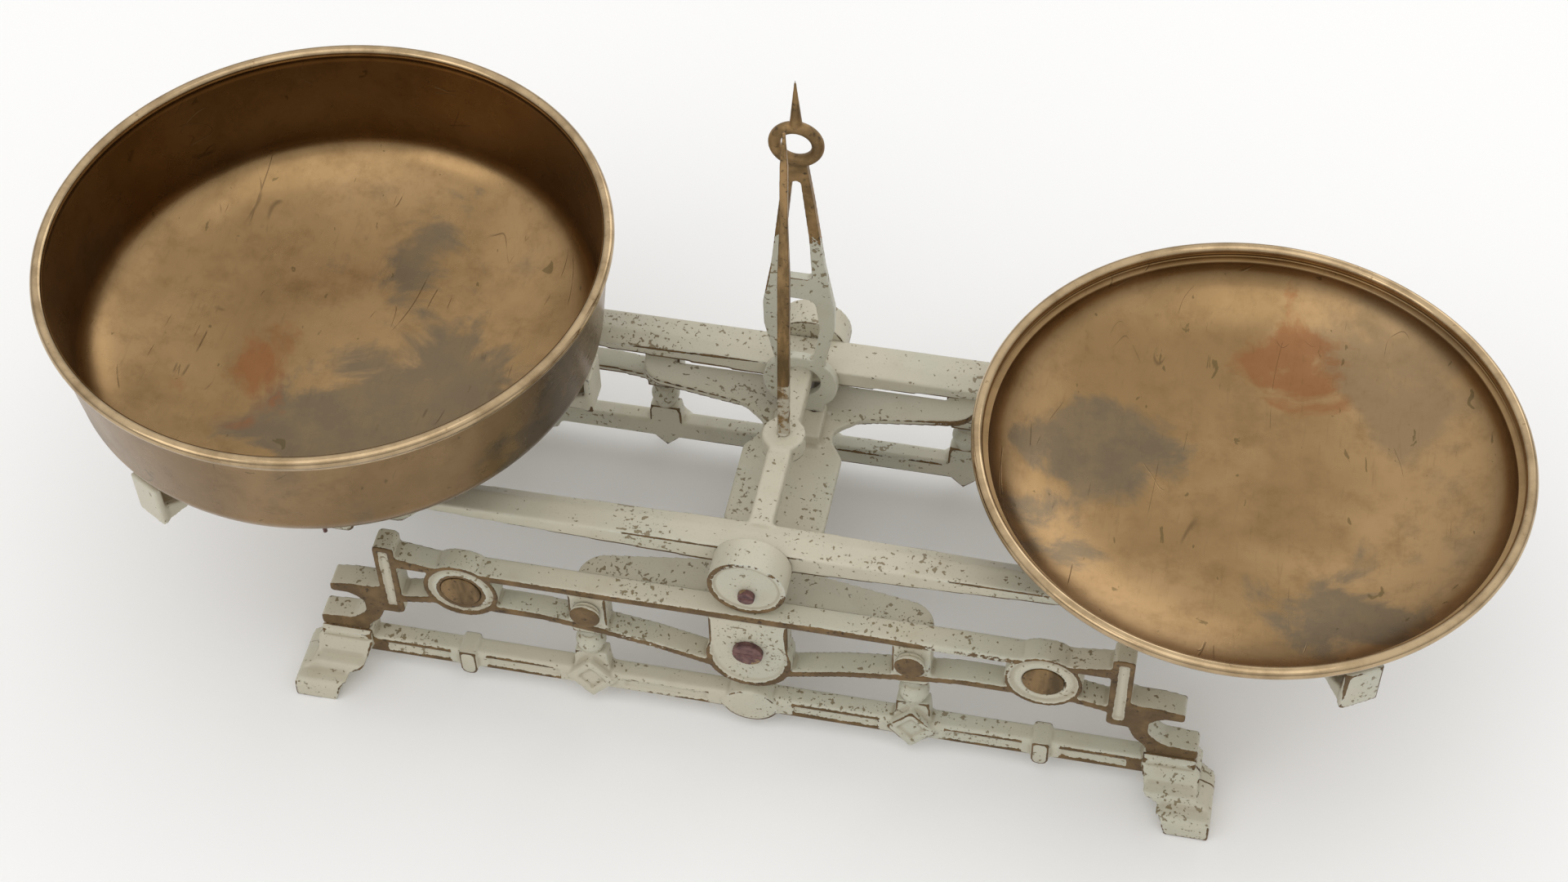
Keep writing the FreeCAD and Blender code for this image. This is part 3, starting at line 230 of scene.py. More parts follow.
def cream_paint(name, reach=0.0, tint=CREAM, bare_above=None, bronze=()):
    """Flaked enamel; reach moves the flaking further out and bare_above leaves the top unpainted."""
    finish = Finish(name)
    runs = finish.noise(24, 3, at=finish.stretched((0.45, 1, 1)))
    ragged = finish.noise(430, 6, 0.62)
    wear = finish.calc("ADD", finish.mark("wear"), finish.calc("MULTIPLY_ADD", runs, 2.6, -1.50))
    wear = finish.calc("ADD", wear, finish.calc("MULTIPLY_ADD", ragged, 0.5, -0.25 + reach))
    front = finish.calc("ADD", finish.mark("front"), finish.calc("MULTIPLY_ADD", runs, 2.0, -1.1))
    front = finish.calc("MULTIPLY_ADD", ragged, 0.9, finish.calc("SUBTRACT", front, 0.45))
    wear = finish.calc("ADD", wear, finish.fade(front, 0.58, 0.66, 0, 2))
    if bare_above is not None:
        height = finish.calc("MULTIPLY_ADD", ragged, 0.012, finish.axis(2))
        wear = finish.calc("ADD", wear, finish.fade(height, bare_above, bare_above + 0.004, 0.0, 2.0))
    flaked = finish.fade(wear, FLAKE_START, FLAKE_END)
    halo = finish.calc("SUBTRACT", finish.fade(wear, 0.52, FLAKE_START), flaked, clamp=True)
    cluster = finish.fade(finish.noise(30, 2), 0.42, 0.62)
    pit_size = finish.calc("MULTIPLY", cluster, 0.100)
    pits = finish.fade(finish.calc("SUBTRACT", pit_size, finish.noise(480, 2, 0.5)), -0.300, -0.285)
    dot_size = finish.calc("MULTIPLY", cluster, 0.12)
    dots = finish.fade(finish.calc("SUBTRACT", finish.cells(620), dot_size), 0.02, 0.06, 1.0, 0.0)
    pits = finish.calc("MAXIMUM", pits, finish.calc("MULTIPLY", dots, 0.8))
    cooler = tuple(value * share for value, share in zip(tint, (0.91, 0.965, 1.0)))
    aged = finish.blend(finish.fade(finish.noise(17, 4), 0.38, 0.7), tint, cooler)
    aged = finish.blend(finish.fade(finish.noise(70, 5), 0.5, 0.8, 0, 0.35), aged, YELLOWED)
    # Painted shade: the hollows of the castings are darkened by the hollow mark.
    aged = finish.blend(finish.fade(finish.mark("hollow"), 0.1, 0.9, 0, 0.5), aged, PAINTED_HOLLOW_SHADE)
    aged = finish.blend(finish.fade(finish.noise(1300, 2), 0.58, 0.75, 0, 0.3), aged, SPECK)
    aged = finish.blend(finish.calc("MULTIPLY", halo, 0.6), aged, CHALK)
    speckled = finish.blend(finish.calc("MULTIPLY", pits, 0.8), aged, PINHOLE)
    finish.set(Base_Color=finish.blend(flaked, speckled, bare_bronze(finish, *bronze)))
    finish.set(Roughness=finish.blend(flaked, (0.40, 0.40, 0.40), (0.5, 0.5, 0.5)),
               Metallic=finish.calc("MULTIPLY", flaked, 0.55))
    skin = finish.relief(finish.noise(160, 3), 0.00025, 0.35)
    whole = finish.calc("SUBTRACT", 1.0, finish.calc("MAXIMUM", flaked, pits))
    finish.set(Normal=finish.relief(whole, PAINT_DEPTH, 0.9, skin))
    return finish.material


print("cream paint ready")

# %% [markdown]
# ## Old brass
# The pans are spun brass that was wiped but never polished for years. Large grey-blue clouds and a
# few orange ones lie over the gold-brown. Fine scratches run in all directions, and small olive flecks
# sit on top. The rolled rims are rubbed by every hand that lifts the pan, so they have a finish of
# their own: paler, smoother and almost without clouds.


# %% Brass
GOLD_DEEP, GOLD_LIGHT = (0.275, 0.172, 0.078), (0.385, 0.248, 0.120)
GOLD_SHADE = (0.190, 0.112, 0.046)
GREY_DARK, GREY_LIGHT = (0.120, 0.100, 0.074), (0.185, 0.142, 0.088)
ORANGE = (0.255, 0.095, 0.035)
OLIVE = (0.085, 0.065, 0.025)
SCRATCH = (0.055, 0.036, 0.02)
BRUSHED = (0.11, 0.07, 0.032)
WALL_SHADE = (0.10, 0.066, 0.03)
LINE_WIDTH = 0.0032


def scratches(finish, scale, spin, shift, long=0.10):
    """Thin curved lines: a narrow band of stretched noise round one half."""
    lane = finish.stretched((1.0, long, 1.0), shift=shift, spin=(0, 0, spin))
    value = finish.noise(scale, 1, 0.4, at=lane, twist=0.3)
    off = finish.calc("ABSOLUTE", finish.calc("SUBTRACT", value, 0.5))
    line = finish.fade(off, 0.0, LINE_WIDTH, 1.0, 0.0)
    patches = finish.noise(42, 2, at=finish.stretched((1, 1, 1), shift=shift))
    return finish.calc("MULTIPLY", line, finish.fade(patches, 0.56, 0.63))


def bloom_at(finish, spot, reach, ragged, wide=(1, 1, 1)):
    """A cloud with a ragged edge round one spot."""
    moved = finish.stretched(wide, shift=tuple(-v * w for v, w in zip(spot, wide)))
    distance = finish.nodes.new("ShaderNodeVectorMath")
    distance.operation = "LENGTH"
    finish.feed(distance.inputs[0], moved)
    far = finish.calc("MULTIPLY_ADD", ragged, 0.12, distance.outputs["Value"])
    return finish.fade(far, reach + 0.050, reach + 0.066, 1.0, 0.0)


def old_brass(name, shift, orange_at, grey_spots):
    """Patinated sheet brass; shift picks other clouds, orange_at is where the orange bloom lies and
    grey_spots are the places, reaches and shapes of the largest grey clouds."""
    finish = Finish(name)
    moved = finish.stretched((1, 1, 1), shift=shift)
    broad = finish.noise(13, 5, 0.55, at=moved, twist=0.3)
    mottle = finish.noise(70, 7, 0.70, at=moved)
    ragged = finish.noise(26, 6, 0.62, at=moved, twist=0.4)
    gold = finish.blend(finish.fade(broad, 0.35, 0.65), GOLD_DEEP, GOLD_LIGHT)
    gold = finish.blend(finish.fade(mottle, 0.42, 0.75, 0, 0.55), gold, GOLD_SHADE)
    cloud = finish.fade(finish.calc("MULTIPLY_ADD", mottle, 0.10, broad), 0.62, 0.72, 0, 0.55)
    for spot, reach, wide in grey_spots:
        cloud = finish.calc("MAXIMUM", cloud, bloom_at(finish, spot, reach, ragged, wide))
    grey = finish.blend(finish.fade(mottle, 0.38, 0.68), GREY_DARK, GREY_LIGHT)
    coat = finish.blend(finish.calc("MULTIPLY", cloud, 0.72), gold, grey)
    bloom = bloom_at(finish, orange_at, 0.014, ragged)
    coat = finish.blend(finish.calc("MULTIPLY", bloom, 0.65), coat, ORANGE)
    fleck_place = finish.stretched((1.0, 0.5, 1.0), shift=shift, spin=(0, 0, 0.6))
    flecks = finish.fade(finish.noise(170, 3, 0.5, at=fleck_place, twist=0.6), 0.70, 0.72)
    coat = finish.blend(finish.calc("MULTIPLY", flecks, 0.55), coat, OLIVE)
    lines = finish.calc("MAXIMUM", scratches(finish, 11, 0.5, shift), scratches(finish, 15, 2.3, shift))
    lines = finish.calc("MAXIMUM", lines, scratches(finish, 36, 1.3, shift, 0.16))
    lines = finish.calc("MAXIMUM", lines, scratches(finish, 44, 2.8, shift, 0.16))
    coat = finish.blend(finish.calc("MULTIPLY", lines, 0.45), coat, SCRATCH)
    fine = finish.noise(600, 3, 0.6, at=finish.stretched((1, 0.12, 1), shift=shift, spin=(0, 0, 0.9)))
    coat = finish.blend(finish.fade(fine, 0.55, 0.8, 0, 0.2), coat, BRUSHED)
    # Painted shade: the pan walls, from a little above the floor up to the rim, are darkened.
    coat = finish.blend(finish.fade(finish.axis(2), 0.118, 0.130, 0, 0.32), coat, WALL_SHADE)
    rough = finish.fade(broad, 0.4, 0.7, 0.22, 0.32)
    finish.set(Base_Color=coat, Metallic=1.0, Roughness=finish.calc("MULTIPLY_ADD", mottle, 0.08, rough))
    skin = finish.relief(finish.noise(21, 2, at=moved), 0.0010, 0.22)
    skin = finish.relief(fine, 0.00006, 0.35, skin)
    skin = finish.relief(finish.calc("SUBTRACT", 1.0, lines), 0.0001, 0.6, skin)
    finish.set(Normal=skin)
    return finish.material


def rubbed_brass():
    """The rolled rims: paler, smoother brass with thin dark streaks."""
    finish = Finish("rubbed_brass")
    streaks = finish.noise(70, 5, 0.6)
    coat = finish.blend(finish.fade(streaks, 0.35, 0.75), (0.50, 0.37, 0.22), (0.30, 0.21, 0.115))
    coat = finish.blend(finish.fade(finish.noise(420, 3), 0.64, 0.74, 0, 0.45), coat, (0.20, 0.13, 0.06))
    finish.set(Base_Color=coat, Metallic=1.0, Roughness=finish.fade(streaks, 0.3, 0.8, 0.10, 0.22))
    finish.set(Normal=finish.relief(finish.noise(240, 3), 0.0001, 0.3))
    return finish.material


print("brass ready")

# %% [markdown]
# ## The small metals
# Four more finishes: the needle and the plugs in dark bronze, the screws in a purple-brown oxide, and
# the ground steel of knives and pins.


# %% Small metals
def dark_bronze(name, dark=1.0, painted_below=None):
    """Bare handled bronze: browns mixed by noise, dark pits, a little shine, and at the foot old paint."""
    finish = Finish(name)
    streaks = finish.noise(150, 5, 0.6, at=finish.stretched((1, 1, 0.25)))
    low = tuple(v * dark for v in (0.120, 0.076, 0.032))
    high = tuple(v * dark for v in (0.31, 0.195, 0.085))
    coat = finish.blend(finish.fade(streaks, 0.35, 0.68), low, high)
    coat = finish.blend(finish.fade(finish.noise(500, 3), 0.58, 0.7, 0, 0.8), coat, (0.05, 0.03, 0.016))
    metal = 0.75
    if painted_below is not None:
        ragged = finish.calc("MULTIPLY_ADD", finish.noise(130, 5, 0.62), 0.12, finish.axis(2))
        paint = finish.fade(ragged, painted_below + 0.048, painted_below + 0.062, 1.0, 0.0)
        specks = finish.fade(finish.noise(420, 3), 0.56, 0.60, 1.0, 0.15)
        coat = finish.blend(finish.calc("MULTIPLY", paint, specks), coat, (0.44, 0.40, 0.31))
        metal = finish.calc("MULTIPLY_ADD", paint, -0.75, 0.75)
    finish.set(Base_Color=coat, Metallic=metal, Roughness=finish.fade(streaks, 0.3, 0.7, 0.52, 0.36))
    finish.set(Normal=finish.relief(finish.noise(420, 4), 0.0003, 0.5))
    return finish.material


def oxide_screw():
    """Purple-brown oxide with rubbed spots of yellow metal."""
    finish = Finish("oxide_screw")
    purple, brown = (0.085, 0.040, 0.040), (0.20, 0.105, 0.095)
    coat = finish.blend(finish.fade(finish.noise(300, 4), 0.35, 0.7), purple, brown)
    coat = finish.blend(finish.fade(finish.noise(170, 4), 0.60, 0.64, 0, 0.8), coat, (0.30, 0.21, 0.10))
    finish.set(Base_Color=coat, Metallic=0.5, Roughness=0.5)
    finish.set(Normal=finish.relief(finish.noise(380, 4), 0.0003, 0.6))
    return finish.material


def knife_steel():
    """Ground steel with grinding lines along the edge and light rust."""
    finish = Finish("knife_steel")
    lines = finish.noise(900, 2, at=finish.stretched((1, 0.05, 1)))
    rust = finish.fade(finish.noise(130, 5), 0.52, 0.7)
    coat = finish.blend(finish.calc("MULTIPLY", rust, 0.7), (0.42, 0.40, 0.37), (0.17, 0.09, 0.045))
    finish.set(Base_Color=coat, Metallic=0.85, Roughness=finish.fade(lines, 0.3, 0.7, 0.28, 0.42))
    finish.set(Normal=finish.relief(lines, 0.0001, 0.4))
    return finish.material


FINISHES = {
    "cream_paint": cream_paint("cream_paint"),
    "pointer_paint": cream_paint("pointer_paint", -0.30, (0.51, 0.495, 0.40), bare_above=0.1755,
                                 bronze=((0.165, 0.100, 0.038), (0.330, 0.205, 0.085))),
    "needle_brass": dark_bronze("needle_bronze", 1.2, painted_below=0.118),
    "aged_bronze": dark_bronze("plug_bronze", 0.85),
    "dark_screw": oxide_screw(),
    "bare_steel": knife_steel(),
}
RIM = rubbed_brass()
print(sorted(FINISHES))

# %% [markdown]
# ## Castings with soft arrises
# A sand casting has no sharp edge, and several coats of paint round it further. The design model has
# sharp ones. A bevel would need clean faces, which an exported solid doesn't have, so each casting is
# closed over again by a voxel skin: a fine, even net laid round the merged solid. Two passes in which
# every vertex moves halfway to the mean of its neighbours then round the arrises by about half a
# millimetre and leave the flats as they are.
#
# The same net tells where the arrises are. Between two neighbours i and j the number
# (nj - ni) . (pj - pi) / |pj - pi|^2 is the bend of the surface, positive on an outward arris. Its
# mean at each vertex, spread over a millimetre or two, becomes wear, and the negative side hollow.


# %% Skin and curvature
PASSES = 2
WELD = 0.005 * MM
SPREAD = 1.1 * MM
WEAR_GAIN, HOLLOW_GAIN = 3.0, 3.2
PROUD = 0.4 * MM


def neighbour_mean(values, first, second, count):
    """Mean of a per-vertex array over each vertex's neighbours along the edges."""
    total = np.zeros_like(values)
    np.add.at(total, first, values[second])
    np.add.at(total, second, values[first])
    return total / count.reshape((-1,) + (1,) * (values.ndim - 1))


def put_mark(mesh, name, values):
    """Store one number for each vertex on a mesh."""
    mark = mesh.attributes.new(name, "FLOAT", "POINT")
    mark.data.foreach_set("value", values.astype(np.float32))


def soft_skin(solid, voxel):
    """A fine even net round a solid, softened, with its wear and hollow marks; returns the mesh."""
    merged = bmesh.new()
    merged.from_mesh(solid)
    bmesh.ops.remove_doubles(merged, verts=merged.verts, dist=WELD)
    base = bpy.data.meshes.new("merged")
    merged.to_mesh(base)
    merged.free()
    carrier = bpy.data.objects.new("carrier", base)
    bpy.context.scene.collection.objects.link(carrier)
    net = carrier.modifiers.new("net", "REMESH")
    net.mode = "VOXEL"
    net.voxel_size = voxel
    graph = bpy.context.evaluated_depsgraph_get()
    skin = bpy.data.meshes.new_from_object(carrier.evaluated_get(graph))
    bpy.data.objects.remove(carrier)
    size = len(skin.vertices)
    points = np.empty(size * 3)
    skin.vertices.foreach_get("co", points)
    points = points.reshape(-1, 3)
    pairs = np.empty(len(skin.edges) * 2, dtype=np.int64)
    skin.edges.foreach_get("vertices", pairs)
    first, second = pairs[0::2], pairs[1::2]
    count = np.bincount(pairs, minlength=size).astype(float)
    for _ in range(PASSES):
        points += 0.5 * (neighbour_mean(points, first, second, count) - points)
    skin.vertices.foreach_set("co", points.ravel())
    skin.update()
    normals = np.empty(size * 3)
    skin.vertex_normals.foreach_get("vector", normals)
    normals = normals.reshape(-1, 3)
    step = points[second] - points[first]
    bend = np.sum((normals[second] - normals[first]) * step, axis=1) / np.sum(step * step, axis=1)
    curve = np.zeros(size)
    np.add.at(curve, first, bend)
    np.add.at(curve, second, bend)
    curve = curve / count * MM
    spread = max(2, round(SPREAD / voxel))
    marks = []
    for side in (np.clip(curve, 0, 1), np.clip(-curve, 0, 1)):
        for _ in range(spread):
            side = 0.5 * (side + neighbour_mean(side, first, second, count))
        marks.append(side)
    front = 0.5 + 0.5 * np.abs(normals[:, 1]) - 0.4 * normals[:, 2]
    put_mark(skin, "wear", np.clip(marks[0] * WEAR_GAIN * front, 0, 1))
    put_mark(skin, "hollow", np.clip(marks[1] * HOLLOW_GAIN, 0, 1))
    skin.polygons.foreach_set("use_smooth", np.ones(len(skin.polygons), dtype=bool))
    return skin


def mark_front(skin, face, strength, spared):
    """Mark the foremost face, at that distance from the midplane, outside the spared rounds (x, z, radius).

    The mark is strength times 1 + (|y| - face) / 1 mm, held between 0 and 1, so it falls to nothing 1 mm
    behind the face. What stands proud of the face by more than 0.4 mm is not marked.
    """
    points = np.empty(len(skin.vertices) * 3)
    skin.vertices.foreach_get("co", points)
    across, depth, height = np.abs(points.reshape(-1, 3)).T
    front = strength * np.clip(1 + (depth - face) / MM, 0, 1) * (depth < face + PROUD)
    for x, z, radius in spared:
        front *= np.hypot(across - x, height - z) > radius
    put_mark(skin, "front", front)


def add_piece(name, mesh, finish, nodes):
    """Show a mesh in place of one or more design nodes, on the body that they ride on."""
    mesh.materials.clear()
    for item in finish if isinstance(finish, (list, tuple)) else [finish]:
        mesh.materials.append(item)
    piece = bpy.data.objects.new(name, mesh)
    bpy.context.scene.collection.objects.link(piece)
    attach(piece, BODY_OF[nodes[0]])
    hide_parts(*nodes)
    return piece


print("skin helpers ready")

# %% [markdown]
# The net's spacing is chosen per piece: fine enough for the smallest ornament on it, coarse enough to
# stay well under the triangle limit of one piece.

# %% Skin the castings
# Node: spacing of its net, in millimetres.
CASTINGS = {
    "front_upper_frame": 0.66,
    "rear_upper_frame": 0.75,
    "front_lower_rail": 0.66,
    "rear_lower_rail": 0.75,
    "bridge_plate": 0.70,
    "balance_beam": 0.80,
    "front_beam_cap": 0.45,
    "rear_beam_cap": 0.55,
    "fixed_pointer": 0.42,
    "left_spider": 0.85,
    "right_spider": 0.85,
    "left_yoke": 0.7,
    "right_yoke": 0.7,
    "stay_hanger": 0.6,
    "stay": 0.8,
    "left_stem": 0.5,
    "right_stem": 0.5,
    "left_clevis": 0.5,
    "right_clevis": 0.5,
    "needle": 0.3,
    "boss_plugs": 0.35,
    "frame_bolts": 0.35,
    "centre_screws": 0.28,
    "cap_screws": 0.22,
}
RING_REACH = 3.4 * MM
plug_low, plug_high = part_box("boss_plugs")
plug_radius = (plug_high.z - plug_low.z) / 2
plug_ring = (plug_high.x - plug_radius, plug_high.z - plug_radius, plug_radius + RING_REACH)
RAIL_MIDDLE = 14.8 * MM
# The medallion, the diamonds and the collars: distance from the middle and radius, in millimetres.
rail_ornaments = [(away * MM, RAIL_MIDDLE, round_radius * MM)
                  for away, round_radius in ((0, 17), (64.5, 13), (115.5, 8))]
# Node: distance of its foremost face in millimetres, strength of the rubbing, spared rounds.
RUBBED_FACES = {
    "front_upper_frame": (70.0, 1.0, [plug_ring]),
    "rear_upper_frame": (70.0, 1.0, [plug_ring]),
    "front_lower_rail": (70.0, 1.0, rail_ornaments),
    "rear_lower_rail": (70.0, 1.0, rail_ornaments),
    "front_beam_cap": (68.3, 0.78, []),
    "rear_beam_cap": (68.3, 0.78, []),
    "frame_bolts": (73.0, 1.0, []),
}
for node, spacing in CASTINGS.items():
    skin = soft_skin(frame["nodes"][node].data, spacing * MM)
    if node in RUBBED_FACES:
        face, strength, spared = RUBBED_FACES[node]
        mark_front(skin, face * MM, strength, spared)
    piece = add_piece(node + "_cast", skin, FINISHES[SLOT_OF[node]], [node])
    print(piece.name, len(skin.polygons), "faces")

# %% [markdown]
# ## Turned and spun pieces
# The pans and the balls under the frames are round, so each is one profile carried round an axis. The
# point at angle t of a profile point (r, h) is (r cos t, r sin t, h). A profile that starts and ends
# on the axis closes there with a single vertex, so no pole is left open.


# %% Turn a profile
def turned(profile, centre, steps, lobes=0.0):
    """Vertices and faces of a profile (radius, height) carried round a vertical axis.

    Point (r, h) at angle t goes to centre + (q r cos t, q r sin t, h), where q = 1 + lobes (cos 2t +
    cos(5t + 1) / 2) leaves a hand-made piece slightly out of round. The first and last point lie on the axis.
    """
    ring = np.linspace(0, 2 * np.pi, steps, endpoint=False)
    radius = profile[1:-1, 0][:, None]
    height = profile[1:-1, 1][:, None]
    round_off = 1 + lobes * (np.cos(2 * ring) + 0.5 * np.cos(5 * ring + 1))
    grid = np.stack([radius * round_off * np.cos(ring), radius * round_off * np.sin(ring),
                     height + 0 * ring], axis=-1)
    rows = len(radius)
    points = grid.reshape(-1, 3)
    poles = np.array([[0, 0, profile[0, 1]], [0, 0, profile[-1, 1]]])
    points = np.vstack([points, poles]) + np.array(centre)
    row, column = np.meshgrid(np.arange(rows - 1), np.arange(steps), indexing="ij")
    onward = (column + 1) % steps
    quads = np.stack([row * steps + column, row * steps + onward, (row + 1) * steps + onward,
                      (row + 1) * steps + column], axis=-1).reshape(-1, 4)
    here = np.arange(steps)
    after = (here + 1) % steps
    last = (rows - 1) * steps
    start_fan = np.stack([after, here, np.full(steps, rows * steps)], axis=-1)
    end_fan = np.stack([last + here, last + after, np.full(steps, rows * steps + 1)], axis=-1)
    faces = quads.tolist() + start_fan.tolist() + end_fan.tolist()
    return points, faces


def as_mesh(name, points, faces):
    """A smooth mesh from arrays, with its faces turned outwards."""
    mesh = bpy.data.meshes.new(name)
    mesh.from_pydata(points.tolist(), [], faces)
    check = bmesh.new()
    check.from_mesh(mesh)
    bmesh.ops.recalc_face_normals(check, faces=check.faces)
    check.to_mesh(mesh)
    check.free()
    mesh.polygons.foreach_set("use_smooth", np.ones(len(mesh.polygons), dtype=bool))
    return mesh


print("lathe ready")

# %% [markdown]
# A pan's profile is a flat floor, an elliptic knuckle, a wall that leans out a little, and a rim
# rolled round a wire. The rim is nearly a full circle: it starts under the wall's outside, goes over
# the top and meets the wall again on the inside. All sizes come from the node's own box; only the
# metal's thickness, the wire and the knuckle are given here.

# %% Spin the pans
WIRE = 2.3 * MM
PAN_STEPS = 288
OUT_OF_ROUND = 0.0006


def pan_profile(radius, depth, floor, lean, knuckle, metal):
    """Underside, knuckle, wall, rolled rim and the inside again, as (radius, height) rows."""
    top = radius - WIRE
    rise = depth - WIRE
    low = top - lean
    quarter = np.linspace(0, np.pi / 2, 30)

    def side(inset):
        flat = np.stack([np.linspace(0, floor, 9)[:-1], np.full(8, inset)], axis=-1)
        bend = np.stack([floor + (low - inset - floor) * np.sin(quarter),
                         knuckle - (knuckle - inset) * np.cos(quarter)], axis=-1)
        climb = np.linspace(0, 1, 16)[1:-1]
        wall = np.stack([low - inset + lean * climb, knuckle + (rise - WIRE - knuckle) * climb], axis=-1)
        return np.vstack([flat, bend, wall])

    outside = side(0.0)
    inside = side(metal)
    meet = np.pi + np.arccos(metal / WIRE)
    sweep = np.linspace(-np.pi / 2 + 0.05, meet, 44)
    rim = np.stack([top + WIRE * np.cos(sweep), rise + WIRE * np.sin(sweep)], axis=-1)
    return np.vstack([outside, rim, inside[::-1]]), len(outside), len(rim)


# Node: floor radius, lean of the wall, knuckle and metal in millimetres; then the noise's shift, the
# orange bloom's place and the grey clouds' places, reaches and shapes, in metres.
PANS = {
    "deep_pan": (42.0, 4.4, 24.0, 1.0, (0.31, 0.17, 0.0), (-0.212, -0.010, 0.105), [
        ((-0.135, -0.030, 0.108), 0.052, (0.8, 1.1, 0.6)),
        ((-0.168, 0.055, 0.108), 0.018, (1.1, 0.6, 0.6)),
    ]),
    "shallow_pan": (46.0, 2.6, 24.0, 1.77, (0.02, 0.43, 0.1), (0.196, 0.062, 0.106), [
        ((0.120, 0.012, 0.106), 0.024, (0.8, 1.1, 1.0)),
        ((0.218, -0.050, 0.106), 0.022, (0.8, 1.1, 1.0)),
        ((0.103, -0.035, 0.106), 0.012, (1.0, 0.8, 1.0)),
    ]),
}
for node, (floor, lean, knuckle, metal, shift, orange_at, grey_spots) in PANS.items():
    low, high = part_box(node)
    radius = (high.y - low.y) / 2
    sizes = [value * MM for value in (floor, lean, knuckle, metal)]
    profile, before, rim_rows = pan_profile(radius, high.z - low.z, *sizes)
    middle = ((low.x + high.x) / 2, (low.y + high.y) / 2, low.z)
    points, faces = turned(profile, middle, PAN_STEPS, lobes=OUT_OF_ROUND)
    mesh = as_mesh(node, points, faces)
    brass = old_brass(node + "_brass", shift, orange_at, grey_spots)
    piece = add_piece(node + "_spun", mesh, [brass, RIM], [node])
    rim_faces = np.zeros(len(mesh.polygons), dtype=np.int32)
    rim_faces[(before - 2) * PAN_STEPS:(before + rim_rows - 2) * PAN_STEPS] = 1
    mesh.polygons.foreach_set("material_index", rim_faces)
    print(piece.name, len(mesh.polygons), "faces, radius", round(radius / MM, 1), "mm")

# %% [markdown]
# Under each half of a side frame stands a turned ball between two short necks. It is painted like the
# castings, so it carries the same two marks: a little wear round its middle, and hollows at its necks,
# which are darkened there as painted shade.

# %% Turn the ball pillars
PILLAR_STEPS = 72


def pillar_profile(radius, height, centre):
    """A ball between a lower neck and a flaring upper neck, as (radius, height) rows."""
    neck = 0.7 * radius
    dip = math.asin(neck / radius)
    arc = np.linspace(-np.pi / 2 + dip, np.pi / 2 - dip, 26)
    ball = np.stack([radius * np.cos(arc), centre + radius * np.sin(arc)], axis=-1)
    start = np.array([[0, 0], [neck * 0.6, 0], [neck, 0], [neck, 0.0001]])
    flare = np.linspace(0, 1, 8)
    upper = np.stack([neck + 0.22 * radius * flare ** 2,
                      ball[-1, 1] + (height - ball[-1, 1]) * flare], axis=-1)[1:]
    end = np.array([[neck * 0.6, height], [0, height]])
    return np.vstack([start, ball, upper, end])


for node in ("front_ball_pillars", "rear_ball_pillars"):
    low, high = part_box(node)
    radius = (high.y - low.y) / 2
    profile = pillar_profile(radius, high.z - low.z, radius)
    parts = [turned(profile, (hand, (low.y + high.y) / 2, low.z), PILLAR_STEPS)
             for hand in (low.x + radius, high.x - radius)]
    shift = len(parts[0][0])
    faces = parts[0][1] + [[corner + shift for corner in face] for face in parts[1][1]]
    mesh = as_mesh(node, np.vstack([parts[0][0], parts[1][0]]), faces)
    height = np.array([vertex.co.z for vertex in mesh.vertices])
    share = (height - low.z) / (high.z - low.z)
    put_mark(mesh, "wear", 0.15 + 0.2 * np.exp(-((share - 0.45) / 0.12) ** 2))
    # The hollow mark at the two necks darkens them as painted shade.
    put_mark(mesh, "hollow", 0.9 * np.exp(-((share - 0.85) / 0.12) ** 2) + 0.6 * np.exp(-(share / 0.06) ** 2))
    piece = add_piece(node + "_turned", mesh, FINISHES["cream_paint"], [node])
    print(piece.name, len(mesh.polygons), "faces")

# %% [markdown]
# ## What keeps its design mesh
# Knives, bearings, pins and the small screws underneath are plain machined pieces with true edges.
# Their design meshes are right as they are and only need a finish.

# %% Finish the rest
SHOWN = set(CASTINGS) | set(PANS) | {"front_ball_pillars", "rear_ball_pillars"}
for node, item in frame["nodes"].items():
    if node not in SHOWN:
        item.data.materials.clear()
        item.data.materials.append(FINISHES[SLOT_OF[node]])
print(len(frame["nodes"]) - len(SHOWN), "nodes keep their own mesh")

# %% [markdown]
# ## Floor and light
# The balance stands on a plain pale floor. Two soft lights of one strength, overhead and behind on the
# right, and a weaker one from the front left leave a faint shadow. The surround brightens from the
# horizon upwards, which gives the brass something pale to mirror.

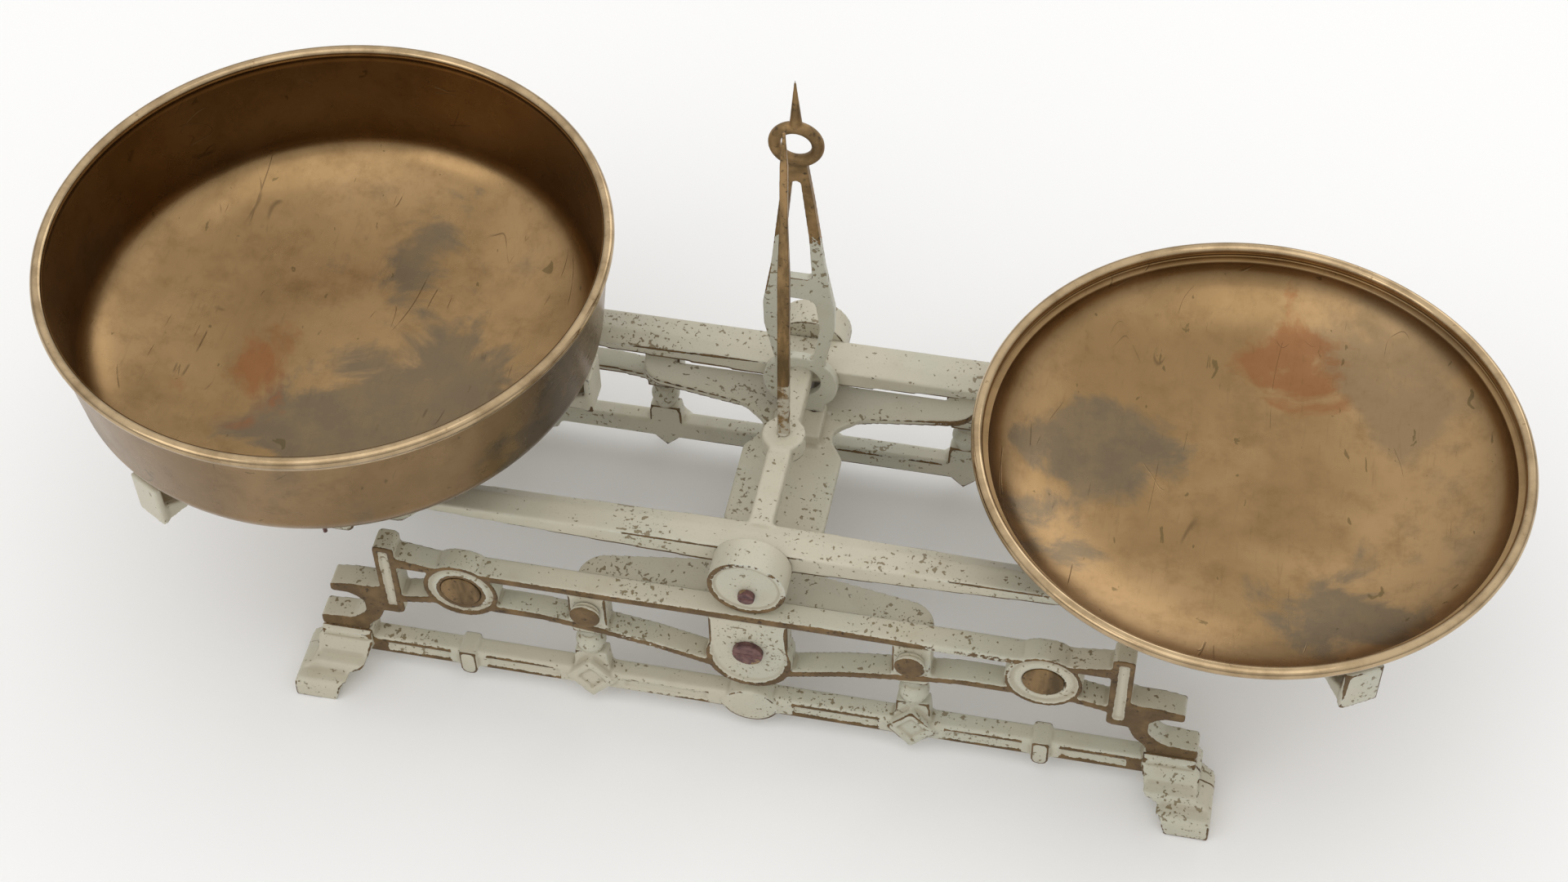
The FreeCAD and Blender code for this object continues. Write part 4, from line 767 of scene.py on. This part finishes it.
# %% Floor
FLOOR_HALF = 6.0
FLOOR_CELLS = 8
FLOOR_TONES = ((0.90, 0.90, 0.90), (0.915, 0.915, 0.915))
plane = bpy.data.meshes.new("floor")
across = FLOOR_CELLS + 1
side = np.linspace(-FLOOR_HALF, FLOOR_HALF, across)
grid_x, grid_y = np.meshgrid(side, side)
points = np.stack([grid_x.ravel(), grid_y.ravel(), np.zeros(grid_x.size)], axis=-1)
cell = (np.arange(FLOOR_CELLS)[:, None] * across + np.arange(FLOOR_CELLS)).ravel()
squares = np.stack([cell, cell + 1, cell + across + 1, cell + across], axis=-1)
plane.from_pydata(points.tolist(), [], squares.tolist())
floor = bpy.data.objects.new("floor", plane)
bpy.context.scene.collection.objects.link(floor)
pale = Finish("pale_floor")
pale.set(Base_Color=pale.blend(pale.noise(3, 2), *FLOOR_TONES), Roughness=0.9)
pale.shader.inputs["Specular IOR Level"].default_value = 0.1
plane.materials.append(pale.material)

# %% Light
HORIZON, HIGH_SKY = 0.50, 1.05  # strength of the surround
world = bpy.data.worlds.new("studio")
bpy.context.scene.world = world
world.use_nodes = True
sky = world.node_tree.nodes["Background"]
sky.inputs["Color"].default_value = (1.0, 0.995, 0.985, 1)
direction = world.node_tree.nodes.new("ShaderNodeTexCoord").outputs["Generated"]
height = world.node_tree.nodes.new("ShaderNodeSeparateXYZ")
climb = world.node_tree.nodes.new("ShaderNodeMapRange")
climb.interpolation_type = "SMOOTHSTEP"
for name, number in (("From Min", 0.0), ("From Max", 0.8), ("To Min", HORIZON), ("To Max", HIGH_SKY)):
    climb.inputs[name].default_value = number
world.node_tree.links.new(direction, height.inputs[0])
world.node_tree.links.new(height.outputs[2], climb.inputs["Value"])
world.node_tree.links.new(climb.outputs[0], sky.inputs["Strength"])


def soft_light(name, place, target, size, watts, colour=(1, 1, 1)):
    """A square area light at a place, turned towards a target."""
    lamp = bpy.data.lights.new(name, "AREA")
    lamp.shape = "SQUARE"
    lamp.size = size
    lamp.energy = watts
    lamp.color = colour
    item = bpy.data.objects.new(name, lamp)
    item.location = place
    item.rotation_euler = (Vector(target) - Vector(place)).to_track_quat("-Z", "Y").to_euler()
    bpy.context.scene.collection.objects.link(item)


MIDDLE = (0, 0, 0.08)
soft_light("overhead", (0.2, -0.8, 2.3), MIDDLE, 1.8, 6.0)
soft_light("behind", (0.9, 2.2, 1.15), MIDDLE, 1.3, 6.0)
soft_light("front_left", (-1.4, -1.4, 1.6), MIDDLE, 1.2, 5.0, (1.0, 0.98, 0.95))
bpy.context.scene.view_settings.view_transform = "Standard"
